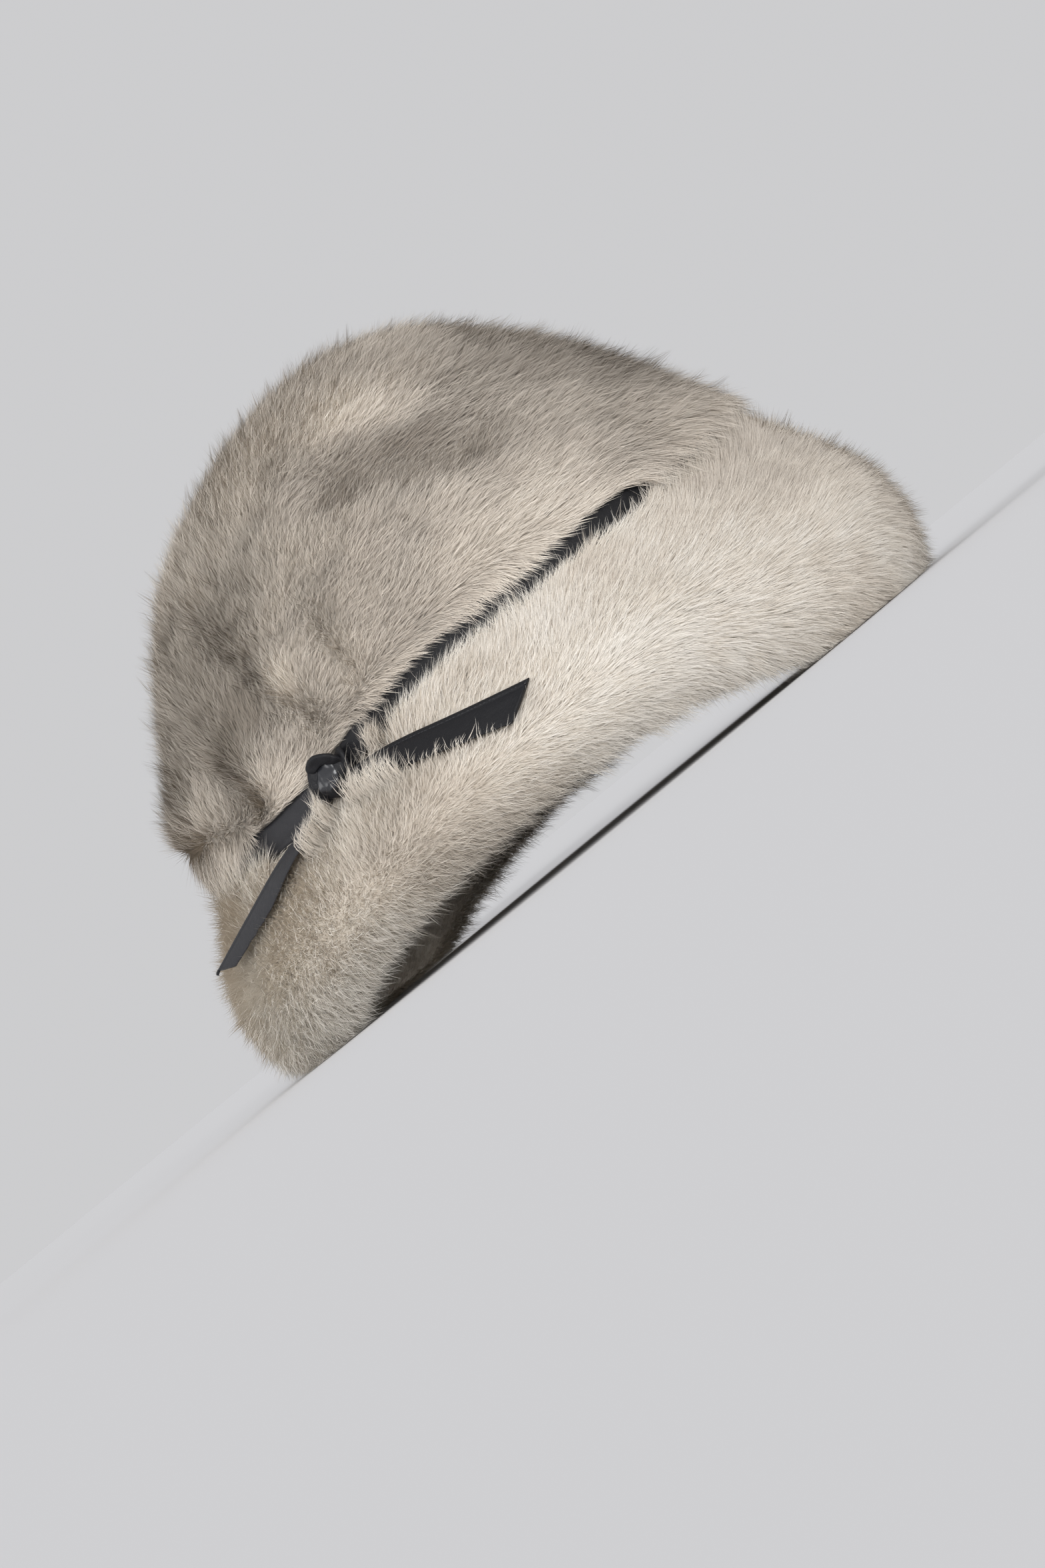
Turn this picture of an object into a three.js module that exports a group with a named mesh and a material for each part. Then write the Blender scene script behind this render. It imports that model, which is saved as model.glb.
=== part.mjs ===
// A fur cloche. A domed crown and a deep flared brim of short dense fur meet in a seam around the head,
// a narrow leather band lies in the groove over that seam, and it is knotted at the wearer's right.
// Millimetres. +X is the front, +Y the wearer's left, +Z up, and the brim rests on z = 0.

import * as THREE from "three";

// Driving sizes
const SEAM_MIDDLE = -0.1;
const SEAM_LENGTH = 224;
const SEAM_WIDTH = 192;
const CROWN_TOP = 177;
const CROWN_LEAN = 7;
const WALL = 16;
const BRIM_REACH = 22;
const BRIM_DEPTH = 73;
const STRAP_WIDTH = 9.4;
const STRAP_THICK = 2.3;
const STRAP_EDGE = { out: 0.5, up: 1 };
const TAIL_THICK = 1.8;
const GAP = 0.3;
const LIP = { out: 1, up: STRAP_WIDTH / 2 + 0.4 };
const GROOVE_FLOOR = -STRAP_THICK - 2 * GAP;

// The dome is a superellipse of these two powers
const DOME_ROUNDNESS = 1.22;
const DOME_FULLNESS = 0.45;

// The knot is a lump with rounded corners, and the last turn of the strap folds across its face
const KNOT_ANGLE = -109;
const KNOT_SIZE = { along: 15, up: 12.5, out: 8 };
const KNOT_CORNERS = 0.75;
const KNOT_FOLD = { deep: 0.14, wide: 0.3, slant: 0.8 };
const KNOT_COLUMNS = 16;
const KNOT_ROWS = 10;

// The fur stands in locks that point to the front on both sides of the hat, none quite like the next
const LOCK_HEIGHT = 3.2;
const LOCK_COLUMNS = 4;
const LOCK_VARIETY = { amount: 0.2, along: 2.3, across: 1.7 };
const CROWN_COLUMNS = 72;
const CROWN_ROWS = 24;
const CROWN_INSIDE_ROWS = 8;
const CALM_ROWS = 9;
const BRIM_COLUMNS = 96;
const BRIM_ROWS = 24;
const BAND_COLUMNS = 72;
const TAIL_STEPS = 12;

// Heights around the hat, one row each 30 degrees from the front to the back, alike on both sides.
// The brim touches the floor where its rim would be at or below 0.
const STATION_STEP = 30;
const STATIONS = [
  { seam: 80, rim: -4, reach: 24 },
  { seam: 73, rim: -2, reach: 23 },
  { seam: 73.5, rim: 14, reach: 22 },
  { seam: 72.5, rim: 19, reach: 22 },
  { seam: 63.5, rim: 13, reach: 22 },
  { seam: 66, rim: -4, reach: 24 },
  { seam: 71, rim: -4.5, reach: 24 },
];

// The brim cut through at its full depth, from the band over the belly and the rim to the seam inside
const BRIM_OUTLINE = [
  { out: LIP.out, down: LIP.up },
  { out: 9.5, down: 17 },
  { out: 18, down: 31 },
  { out: BRIM_REACH, down: 44 },
  { out: 20.5, down: 58 },
  { out: 15, down: 68 },
  { out: 8, down: BRIM_DEPTH },
  { out: 1.5, down: 65 },
  { out: -2.5, down: 44 },
  { out: -9.5, down: 22 },
  { out: -WALL, down: GAP / 2 },
];

// Folds of the crown run between two points given by angle and height. A swell has a negative depth.
const CROWN_FOLDS = [
  { from: [-87, 141], to: [-57, 123], wide: 9, deep: 6 },
  { from: [-65, 151], to: [-47, 142], wide: 13, deep: -2.5 },
  { from: [-83, 118], to: [-63, 111], wide: 12, deep: -2 },
  { from: [-139, 130], to: [-112, 84], wide: 9, deep: 3.5 },
  { from: [-142, 94], to: [-131, 76], wide: 7, deep: 3 },
  { from: [-102, 105], to: [-99, 86], wide: 7, deep: 2.5 },
  { from: [-127, 90], to: [-123, 78], wide: 8, deep: -2.5 },
  { from: [-114, 71], to: [-104, 74], wide: 9, deep: 4 },
  { from: [62, 128], to: [96, 138], wide: 11, deep: 4 },
  { from: [118, 112], to: [124, 84], wide: 9, deep: 3 },
  { from: [172, 150], to: [176, 112], wide: 12, deep: 2.5 },
  { from: [-176, 87], to: [-148, 84], wide: 13, deep: -5.5 },
  { from: [176, 87], to: [148, 84], wide: 13, deep: -5.5 },
  { from: [-168, 148], to: [-168, 112], wide: 30, deep: -4 },
  { from: [-4, 150], to: [-4, 112], wide: 30, deep: 3.5 },
];

// Folds of the brim run between two points given by angle and distance down the fur from the band.
// They are the seats of the knot and of the strap end that lies to the front.
const BRIM_FOLDS = [
  { from: [-115, 0], to: [-103, 1], wide: 9, deep: 4 },
  { from: [-101, 11], to: [-77, 35], wide: 9, deep: 2.6 },
];

// Edges of the two strap ends, by angle, distance down the fur from the band and lift off the fur
const FRONT_TAIL = {
  upper: [
    { angle: -105.1, down: 0.8, lift: 2.1 },
    { angle: -96.3, down: 9.7, lift: 0.8 },
    { angle: -84.9, down: 22.9, lift: 0.7 },
    { angle: -75.2, down: 31.3, lift: 1.2 },
  ],
  lower: [
    { angle: -105, down: 9, lift: 1.8 },
    { angle: -96.4, down: 22.8, lift: 0.8 },
    { angle: -87.8, down: 34.1, lift: 0.7 },
    { angle: -80.4, down: 41.7, lift: 1.2 },
  ],
};
const BACK_TAIL = {
  upper: [
    { angle: -112, down: 0.8, lift: 2 },
    { angle: -125.5, down: 6, lift: 2.9 },
    { angle: -136.6, down: 17.2, lift: 3.8 },
    { angle: -146, down: 27.6, lift: 7.5 },
  ],
  lower: [
    { angle: -113.5, down: 8, lift: 3.6 },
    { angle: -121, down: 13.2, lift: 4.3 },
    { angle: -129, down: 22.4, lift: 3.4 },
    { angle: -140.8, down: 29.7, lift: 5.4 },
  ],
};

const furGrey = new THREE.MeshStandardMaterial({ color: 0xc4bcae, roughness: 0.95, metalness: 0 });
const furCream = new THREE.MeshStandardMaterial({ color: 0xd3cabb, roughness: 0.95, metalness: 0 });
const blackLeather = new THREE.MeshStandardMaterial({ color: 0x232428, roughness: 0.45, metalness: 0 });

// A value of the stations at any angle, by a smooth curve through its neighbours
function around(name, angle) {
  const place = Math.abs(angle) / STATION_STEP;
  const last = STATIONS.length - 1;
  const index = Math.min(Math.floor(place), last - 1);
  const step = place - index;
  const value = (i) => STATIONS[last - Math.abs(last - Math.abs(i))][name];
  const [a, b, c, d] = [index - 1, index, index + 1, index + 2].map(value);
  const slope = step * (c - a + step * (2 * a - 5 * b + 4 * c - d + step * (3 * (b - c) + d - a)));
  return b + slope / 2;
}

// A point at a distance out from the seam's ellipse
function ringPoint(angle, out, height) {
  const turn = THREE.MathUtils.degToRad(angle);
  const x = SEAM_MIDDLE + (SEAM_LENGTH / 2 + out) * Math.cos(turn);
  const y = (SEAM_WIDTH / 2 + out) * Math.sin(turn);
  return new THREE.Vector3(x, y, height);
}

// The outline of the dome, narrower the higher it climbs, and leaning to the front near the top
function domePoint(angle, foot, top, out, rise) {
  const spread = (1 - rise ** DOME_ROUNDNESS) ** DOME_FULLNESS;
  const turn = THREE.MathUtils.degToRad(angle);
  const x = SEAM_MIDDLE + CROWN_LEAN * rise ** 3 + (SEAM_LENGTH / 2 + out) * spread * Math.cos(turn);
  const y = (SEAM_WIDTH / 2 + out) * spread * Math.sin(turn);
  return new THREE.Vector3(x, y, foot + (top - foot) * rise);
}

function crownPoint(angle, rise) {
  return domePoint(angle, around("seam", angle) + LIP.up, CROWN_TOP, LIP.out, rise);
}

function crownPointAtHeight(angle, height) {
  const foot = around("seam", angle) + LIP.up;
  return crownPoint(angle, Math.max(height - foot, 0) / (CROWN_TOP - foot));
}

// The brim's section, walked from the band outwards and round the rim to the seam inside
const brimCurve = new THREE.SplineCurve(
  BRIM_OUTLINE.map(({ out, down }) => new THREE.Vector2(out, -down)),
);
const brimWalk = brimCurve.getLength();

function brimPoint(angle, walked, lift) {
  const at = brimCurve.getPointAt(walked / brimWalk);
  const along = brimCurve.getTangentAt(walked / brimWalk);
  const out = (at.x - along.y * lift) * (at.x > 0 ? around("reach", angle) / BRIM_REACH : 1);
  const depth = around("seam", angle) - around("rim", angle);
  const stretch = (depth - LIP.up) / (BRIM_DEPTH - LIP.up);
  const belowLip = (at.y + LIP.up + along.x * lift) * stretch - LIP.up;
  const height = around("seam", angle) + (at.y < -LIP.up ? belowLip : at.y);
  return ringPoint(angle, out, Math.max(height, 0));
}

// How far the locks raise the fur: each rises along its length, drops at its tip and is ridged across
function lockRelief(column, columns, row) {
  const fromBack = Math.min(column, columns - column) / LOCK_COLUMNS;
  const stagger = Math.floor(row / 2) % 2 === 0 ? 0 : 0.5;
  const run = (((fromBack + stagger) % 1) + 1) % 1;
  const ridge = row % 2 === 1 ? 1 : 0;
  const { amount, along, across } = LOCK_VARIETY;
  const wave = Math.sin(along * Math.floor(fromBack + stagger) + across * row);
  return LOCK_HEIGHT * ridge * run * (1 - amount + amount * wave);
}

// How far the folds press a point in, by its distance from each fold
function foldDepth(point, folds) {
  const near = new THREE.Vector3();
  const deepen = (sum, { line, wide, deep }) => {
    const distance = line.closestPointToPoint(point, true, near).distanceTo(point);
    return sum + deep * Math.exp(-((distance / wide) ** 2));
  };
  return folds.reduce(deepen, 0);
}

function foldLines(table, locate) {
  const line = (from, to) => new THREE.Line3(locate(...from), locate(...to));
  return table.map(({ from, to, wide, deep }) => ({ line: line(from, to), wide, deep }));
}

// A closed surface through rings of points, with a pole at each end, or joined end to end without poles
function skin(rings, poles = []) {
  const columns = rings[0].length;
  const points = rings.flat();
  const faces = [];
  const strips = poles.length ? rings.length - 1 : rings.length;
  for (let row = 0; row < strips; row += 1) {
    const here = row * columns;
    const next = ((row + 1) % rings.length) * columns;
    for (let column = 0; column < columns; column += 1) {
      const beside = (column + 1) % columns;
      faces.push(here + column, next + column, next + beside);
      faces.push(here + column, next + beside, here + beside);
    }
  }
  poles.forEach((pole, end) => {
    const ring = end * (rings.length - 1) * columns;
    for (let column = 0; column < columns; column += 1) {
      const beside = (column + 1) % columns;
      const [a, b] = end === 0 ? [column, beside] : [beside, column];
      faces.push(points.length, ring + a, ring + b);
    }
    points.push(pole);
  });
  const geometry = new THREE.BufferGeometry().setFromPoints(points);
  geometry.setIndex(faces);
  geometry.computeVertexNormals();
  return geometry;
}

function ringOf(columns, place) {
  return Array.from({ length: columns }, (_, column) => place((column * 360) / columns - 180, column));
}

// The crown: a hollow dome of fur on hide, open at the seam
function makeCrown() {
  const folds = foldLines(CROWN_FOLDS, crownPointAtHeight);
  const heart = new THREE.Vector3(SEAM_MIDDLE, 0, STATIONS[0].seam);
  const rings = [];
  for (let row = 1; row <= CROWN_ROWS; row += 1) {
    const rise = Math.cos(((row / CROWN_ROWS) * Math.PI) / 2);
    const calm = Math.min(row / CALM_ROWS, 1);
    rings.push(
      ringOf(CROWN_COLUMNS, (angle, column) => {
        const point = crownPoint(angle, rise);
        const raise = calm * lockRelief(column, CROWN_COLUMNS, row) - foldDepth(point, folds);
        const away = point.clone().sub(heart).normalize();
        return row === CROWN_ROWS ? point : point.addScaledVector(away, raise);
      }),
    );
  }
  const foot = (angle) => around("seam", angle) + GAP / 2;
  for (const up of [LIP.up - GAP, 0]) {
    rings.push(ringOf(CROWN_COLUMNS, (angle) => ringPoint(angle, GROOVE_FLOOR, foot(angle) + up)));
  }
  const inside = (angle, rise) => domePoint(angle, foot(angle), CROWN_TOP - WALL, -WALL, rise);
  for (let row = 0; row < CROWN_INSIDE_ROWS; row += 1) {
    const rise = Math.sin(((row / CROWN_INSIDE_ROWS) * Math.PI) / 2);
    rings.push(ringOf(CROWN_COLUMNS, (angle) => inside(angle, rise)));
  }
  return skin(rings, [crownPoint(0, 1), inside(0, 1)]);
}

// The brim: fur outside and inside, rolled over at the rim and flat where it rests
function makeBrim() {
  const folds = foldLines(BRIM_FOLDS, (angle, down) => brimPoint(angle, down, 0));
  const top = (angle) => around("seam", angle) - GAP / 2;
  const rings = [0, LIP.up - GAP].map((down) =>
    ringOf(BRIM_COLUMNS, (angle) => ringPoint(angle, GROOVE_FLOOR, top(angle) - down)),
  );
  for (let row = 0; row <= BRIM_ROWS; row += 1) {
    const walked = (row / BRIM_ROWS) * brimWalk;
    const edge = row === 0 || row === BRIM_ROWS;
    rings.push(
      ringOf(BRIM_COLUMNS, (angle, column) => {
        const pressed = foldDepth(brimPoint(angle, walked, 0), folds);
        const raise = lockRelief(column, BRIM_COLUMNS, row) - pressed;
        return brimPoint(angle, walked, edge ? 0 : raise);
      }),
    );
  }
  return skin(rings);
}

// The band: one flat leather strap all the way round, in the groove over the seam
function makeBand() {
  const half = STRAP_WIDTH / 2;
  const back = GROOVE_FLOOR + GAP;
  const face = back + STRAP_THICK;
  const section = [
    { out: back, up: -half },
    { out: back, up: half },
    { out: face - STRAP_EDGE.out, up: half },
    { out: face, up: half - STRAP_EDGE.up },
    { out: face, up: STRAP_EDGE.up - half },
    { out: face - STRAP_EDGE.out, up: -half },
  ];
  const rings = section.map(({ out, up }) =>
    ringOf(BAND_COLUMNS, (angle) => ringPoint(angle, out, around("seam", angle) + up)),
  );
  return skin(rings);
}

// The knot: a rounded lump of strap on the band, with the fold of the last turn across its face
function makeKnot() {
  const seat = GROOVE_FLOOR + STRAP_THICK + 2 * GAP;
  const seatPoint = (angle) => ringPoint(angle, seat, around("seam", angle));
  const along = seatPoint(KNOT_ANGLE + 1).sub(seatPoint(KNOT_ANGLE - 1)).normalize();
  const outward = new THREE.Vector3(along.y, -along.x, 0).normalize();
  const up = outward.clone().cross(along).negate();
  const middle = seatPoint(KNOT_ANGLE).addScaledVector(outward, KNOT_SIZE.out / 2);
  const place = (lap, climb) => {
    const level = new THREE.Vector3(Math.cos(lap), Math.sin(lap), 0);
    const flat = level.multiplyScalar(Math.sin(climb)).setZ(Math.cos(climb));
    const boxy = (value) => Math.sign(value) * Math.abs(value) ** KNOT_CORNERS;
    const fromFold = (flat.x + KNOT_FOLD.slant * flat.z) / KNOT_FOLD.wide;
    const fold = 1 - KNOT_FOLD.deep * Math.exp(-(fromFold ** 2));
    return middle
      .clone()
      .addScaledVector(along, (KNOT_SIZE.along / 2) * boxy(flat.x) * fold)
      .addScaledVector(outward, (KNOT_SIZE.out / 2) * boxy(flat.y) * (flat.y > 0 ? fold : 1))
      .addScaledVector(up, (KNOT_SIZE.up / 2) * boxy(flat.z) * fold);
  };
  const rings = [];
  const lapOf = (column) => (column / KNOT_COLUMNS) * 2 * Math.PI;
  for (let row = 1; row < KNOT_ROWS; row += 1) {
    const climb = (row / KNOT_ROWS) * Math.PI;
    rings.push(Array.from({ length: KNOT_COLUMNS }, (_, column) => place(lapOf(column), climb)));
  }
  return skin(rings, [place(0, 0), place(0, Math.PI)]);
}

// A strap end: leather between an upper and a lower edge, each a smooth curve
function makeTail({ upper, lower }) {
  const curve = (edge) =>
    new THREE.CatmullRomCurve3(edge.map(({ angle, down, lift }) => brimPoint(angle, down, lift)));
  const top = curve(upper).getSpacedPoints(TAIL_STEPS);
  const foot = curve(lower).getSpacedPoints(TAIL_STEPS);
  const sections = top.map((point, step) => {
    const ahead = Math.min(step + 1, TAIL_STEPS);
    const before = Math.max(step - 1, 0);
    const along = top[ahead].clone().sub(top[before]);
    const face = foot[step].clone().sub(point).cross(along).normalize();
    const outward = face.dot(new THREE.Vector3(point.x, point.y, 0)) > 0 ? face : face.negate();
    const deep = outward.clone().multiplyScalar(TAIL_THICK);
    return [point, foot[step], foot[step].clone().add(deep), point.clone().add(deep)];
  });
  const forwards = top[TAIL_STEPS].x > top[0].x;
  const ordered = forwards ? sections : sections.reverse();
  const middle = ([first, , opposite]) => first.clone().lerp(opposite, 0.5);
  return skin(ordered, [middle(ordered[0]), middle(ordered[TAIL_STEPS])]);
}

const hat = new THREE.Group();
const pieces = [
  { name: "crown", geometry: makeCrown(), material: furGrey },
  { name: "brim", geometry: makeBrim(), material: furCream },
  { name: "hat_band", geometry: makeBand(), material: blackLeather },
  { name: "knot", geometry: makeKnot(), material: blackLeather },
  { name: "tail_front", geometry: makeTail(FRONT_TAIL), material: blackLeather },
  { name: "tail_back", geometry: makeTail(BACK_TAIL), material: blackLeather },
];
for (const { name, geometry, material } of pieces) {
  const mesh = new THREE.Mesh(geometry, material);
  mesh.name = name;
  hat.add(mesh);
}

export default hat;
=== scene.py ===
import math

import bmesh
import bpy
import numpy as np
from mathutils import Matrix, Vector
from mathutils.bvhtree import BVHTree


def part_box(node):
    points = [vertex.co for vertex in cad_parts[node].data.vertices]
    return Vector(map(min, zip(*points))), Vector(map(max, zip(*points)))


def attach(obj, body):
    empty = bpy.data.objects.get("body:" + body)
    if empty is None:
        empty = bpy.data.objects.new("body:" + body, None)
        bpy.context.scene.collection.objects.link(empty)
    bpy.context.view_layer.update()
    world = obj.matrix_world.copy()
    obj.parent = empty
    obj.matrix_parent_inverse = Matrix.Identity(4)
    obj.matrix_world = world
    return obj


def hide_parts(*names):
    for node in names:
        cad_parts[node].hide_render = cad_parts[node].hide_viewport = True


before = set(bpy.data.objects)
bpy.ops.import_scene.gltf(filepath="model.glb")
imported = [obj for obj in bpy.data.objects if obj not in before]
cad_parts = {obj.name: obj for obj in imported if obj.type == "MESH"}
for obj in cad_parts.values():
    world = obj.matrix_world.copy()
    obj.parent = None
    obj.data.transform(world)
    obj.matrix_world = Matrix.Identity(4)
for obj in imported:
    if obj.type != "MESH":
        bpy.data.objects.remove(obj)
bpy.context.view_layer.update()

# The crown: one dome of short dense fur on hide, sewn to the brim round the head. The pelts were let
# out so that the hair points to the front, and the dome has soft dents where it gives.
MM = 0.001
SEAM_MIDDLE, SEAM_LENGTH, SEAM_WIDTH = -0.1, 224.0, 192.0
CROWN_TOP, CROWN_LEAN, WALL = 177.0, 7.0, 16.0
DOME_ROUNDNESS, DOME_FULLNESS = 1.22, 0.45
LIP_OUT, LIP_UP = 1.0, 5.1
# Depth of the hide's outer and inner face under the fur's outer form, and the inner one's gap to the seam
PILE, HIDE_DEEP, SEAM_GAP = 2.1, WALL - 3, 0.3
# Heights of the seam, one each 30 degrees from the front to the back
SEAM_HEIGHTS = (80, 73, 73.5, 72.5, 63.5, 66, 71)
STATION_STEP = 30.0
# Angle and height at each end of a fold, its width and its depth
CROWN_FOLDS = (
    ((-87, 141), (-57, 123), 9, 6),
    ((-65, 151), (-47, 142), 13, -2.5),
    ((-83, 118), (-63, 111), 12, -2),
    ((-139, 130), (-112, 84), 9, 3.5),
    ((-142, 94), (-131, 76), 7, 3),
    ((-102, 105), (-99, 86), 7, 2.5),
    ((-127, 90), (-123, 78), 8, -2.5),
    ((-114, 71), (-104, 74), 9, 4),
    ((62, 128), (96, 138), 11, 4),
    ((118, 112), (124, 84), 9, 3),
    ((172, 150), (176, 112), 12, 2.5),
    ((-176, 87), (-148, 84), 13, -5.5),
    ((176, 87), (148, 84), 13, -5.5),
    ((-168, 148), (-168, 112), 30, -4),
    ((-4, 150), (-4, 112), 30, 3.5),
)


def smooth(a, b, c, d, share):
    """A value at a share of the way from b to c, on a smooth curve through all four."""
    slope = share * (c - a + share * (2 * a - 5 * b + 4 * c - d + share * (3 * (b - c) + d - a)))
    return b + slope / 2


def around(heights, angle):
    """A value of the stations at any angle, by a smooth curve through its neighbours."""
    place = np.abs(angle) / STATION_STEP
    last = len(heights) - 1
    index = np.minimum(np.floor(place).astype(int), last - 1)
    table = np.array(heights, float)
    neighbours = (table[last - np.abs(last - np.abs(index + k))] for k in (-1, 0, 1, 2))
    return smooth(*neighbours, place - index)


def oval(angle, out, spread=1.0):
    """How far forward and to the left a place on the seam's oval is, moved out and drawn in by a share."""
    turn = np.radians(angle)
    ahead = (SEAM_LENGTH / 2 + out) * spread * np.cos(turn)
    return ahead, (SEAM_WIDTH / 2 + out) * spread * np.sin(turn)


def dome(angle, foot, top, out, rise):
    """Points of a dome, narrower the higher it climbs, and leaning to the front near the top."""
    spread = np.maximum(1 - np.maximum(rise, 0) ** DOME_ROUNDNESS, 0) ** DOME_FULLNESS
    ahead, left = oval(angle, out, spread)
    height = foot + (top - foot) * rise
    return np.stack([SEAM_MIDDLE + CROWN_LEAN * rise**3 + ahead, left, height], axis=-1)


def unit(ways):
    """Directions brought to the length of one."""
    return ways / np.maximum(np.linalg.norm(ways, axis=-1, keepdims=True), 1e-9)


def pressed(points, folds, away):
    """Moves points along a direction by the depth of each fold near them."""
    moved = points.copy()
    for start, end, wide, deep in folds:
        line = end - start
        share = np.clip(((points - start) @ line) / (line @ line), 0, 1)
        distance = np.linalg.norm(points - start - share[..., None] * line, axis=-1)
        moved -= away * (deep * np.exp(-((distance / wide) ** 2)))[..., None]
    return moved


def crown_form(angle, climb):
    """The outer form of the crown's fur. Climb runs from 0 at the band to 1 at the top."""
    rise = np.sin(climb * math.pi / 2)
    foot = around(SEAM_HEIGHTS, angle) + LIP_UP
    plain = dome(angle, foot, CROWN_TOP, LIP_OUT, rise)
    heart = np.array([SEAM_MIDDLE, 0, SEAM_HEIGHTS[0]])
    return pressed(plain, CROWN_FOLD_LINES, unit(plain - heart))


def crown_place(angle, height):
    """A place on the crown without its folds, by its angle and height."""
    angle = np.array([float(angle)])
    foot = around(SEAM_HEIGHTS, angle) + LIP_UP
    rise = np.maximum(height - foot, 0) / (CROWN_TOP - foot)
    return dome(angle, foot, CROWN_TOP, LIP_OUT, rise)[0]


CROWN_FOLD_LINES = [
    (crown_place(*start), crown_place(*end), wide, deep) for start, end, wide, deep in CROWN_FOLDS
]


def surface(form, angle, walk):
    """Points of a form, the way out of it, the way to the front along it, and how much area each has."""
    small = 1e-3
    here = form(angle, walk)
    lap = (form(angle + small, walk) - form(angle - small, walk)) / (2 * small)
    climb = (form(angle, walk + small) - form(angle, walk - small)) / (2 * small)
    normal = np.cross(lap, climb)
    return here, unit(normal), unit(lap * -np.sign(angle)[..., None]), np.linalg.norm(normal, axis=-1)


def inset(form, angle, walk, deep):
    """Points of a form moved straight in."""
    here, normal, _, _ = surface(form, angle, walk)
    return here - normal * deep


def in_scene(name, data):
    """Puts data into the scene as an object at the origin."""
    thing = bpy.data.objects.new(name, data)
    bpy.context.scene.collection.objects.link(thing)
    return thing


def faced_out(thing):
    """Turns the faces of closed skins outwards."""
    shape = bmesh.new()
    shape.from_mesh(thing.data)
    bmesh.ops.recalc_face_normals(shape, faces=shape.faces)
    shape.to_mesh(thing.data)
    shape.free()
    return thing


def shell(name, rings, poles):
    """A closed skin through rings of points, with a pole at each end, or joined end to end."""
    count = len(rings[0])
    points = [point for ring in rings for point in ring] + list(poles)
    strips = len(rings) - 1 if poles else len(rings)
    faces = []
    for row in range(strips):
        here, after = row * count, (row + 1) % len(rings) * count
        for k in range(count):
            j = (k + 1) % count
            faces.append((here + k, after + k, after + j, here + j))
    for end, start in enumerate((0, (len(rings) - 1) * count) if poles else ()):
        for k in range(count):
            pair = (start + k, start + (k + 1) % count)
            faces.append((len(rings) * count + end, *(pair if end == 0 else pair[::-1])))
    data = bpy.data.meshes.new(name)
    data.from_pydata([tuple(p * MM) for p in points], [], faces)
    data.validate()
    data.update()
    data.polygons.foreach_set("use_smooth", [True] * len(data.polygons))
    return faced_out(in_scene(name, data))


# The columns stand a little off the hat's middle plane, where a point is on neither side
COLUMNS, OFF_MIDDLE = 144, 0.01
ring_angles = np.arange(COLUMNS) * 360 / COLUMNS - 180 + OFF_MIDDLE
whole_ring = np.ones(COLUMNS)
OUTER_CLIMBS = np.linspace(0.995, 0.0, 44)
INNER_CLIMBS = np.linspace(0.02, 0.97, 24)
rings = [inset(crown_form, ring_angles, whole_ring * climb, PILE) for climb in OUTER_CLIMBS]
inner_foot = around(SEAM_HEIGHTS, ring_angles) + SEAM_GAP
for climb in INNER_CLIMBS:
    rise = np.sin(climb * math.pi / 2) * whole_ring
    rings.append(dome(ring_angles, inner_foot, CROWN_TOP - HIDE_DEEP, -HIDE_DEEP, rise))
peak = crown_form(np.array([OFF_MIDDLE]), np.array([1.0]))[0] - (0, 0, PILE)
inner_peak = np.array([SEAM_MIDDLE + CROWN_LEAN, 0, CROWN_TOP - HIDE_DEEP])
crown_pelt = shell("crown_pelt", rings, [peak, inner_peak])


def srgb(hex_code):
    """A colour written as a picture editor shows it, as the linear light that a shader needs."""
    parts = [int(hex_code[i : i + 2], 16) / 255 for i in (0, 2, 4)]
    return [p / 12.92 if p <= 0.04045 else ((p + 0.055) / 1.055) ** 2.4 for p in parts] + [1.0]


def node(tree, kind, settings=None, inputs=None, links=None):
    """Adds a node to a tree, with its settings, its inputs' values and its inputs' links."""
    made = tree.nodes.new(kind)
    for name, value in (settings or {}).items():
        setattr(made, name, value)
    for name, value in (inputs or {}).items():
        made.inputs[name].default_value = value
    for name, socket in (links or {}).items():
        tree.links.new(socket, made.inputs[name])
    return made


def material(name):
    """A new material with its node tree and its shader."""
    made = bpy.data.materials.new(name)
    made.use_nodes = True
    return made, made.node_tree, made.node_tree.nodes["Principled BSDF"]


def ramp_stops(ramp, stops):
    """Sets the colours of a ramp."""
    elements = ramp.color_ramp.elements
    for place, code in stops[1:-1]:
        elements.new(place)
    for element, (place, code) in zip(elements, stops):
        element.position = place
        element.color = srgb(code)


# Mink guard hair, undyed: each hair is smooth and a little glossy, pale at its tip and darker towards its
# root, partly its own colour and partly painted shade of the pile's depth, so the coat looks soft with a fine
# grain of painted shadow between the tips.
COAT = (
    (0.0, "9c9388"), (0.22, "bab2a8"), (0.42, "d3cabf"), (0.62, "e8dfd3"), (0.82, "f4ede2"), (1.0, "fdf9f2"),
)
# Painted shade, in part: each hair darker towards its root, where the pile is deep
DEPTH = ((0.0, "cfccc8"), (0.4, "e9e6e2"), (0.75, "fcfbf9"), (1.0, "ffffff"))
mink_fur, tree, shader = material("mink_fur")
coat_map = node(tree, "ShaderNodeUVMap", {"uv_map": "OFBake"})
split = node(tree, "ShaderNodeSeparateXYZ", links={"Vector": coat_map.outputs["UV"]})
lightness = node(tree, "ShaderNodeValToRGB", links={"Fac": split.outputs["X"]})
ramp_stops(lightness, COAT)
depth = node(tree, "ShaderNodeValToRGB", links={"Fac": split.outputs["Y"]})
ramp_stops(depth, DEPTH)
hue = node(tree, "ShaderNodeMix", {"data_type": "RGBA", "blend_type": "MULTIPLY"}, {"Factor": 1.0})
tree.links.new(lightness.outputs["Color"], hue.inputs["A"])
tree.links.new(depth.outputs["Color"], hue.inputs["B"])
tree.links.new(hue.outputs["Result"], shader.inputs["Base Color"])
shader.inputs["Roughness"].default_value = 0.55
shader.inputs["Specular IOR Level"].default_value = 0.3

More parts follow.
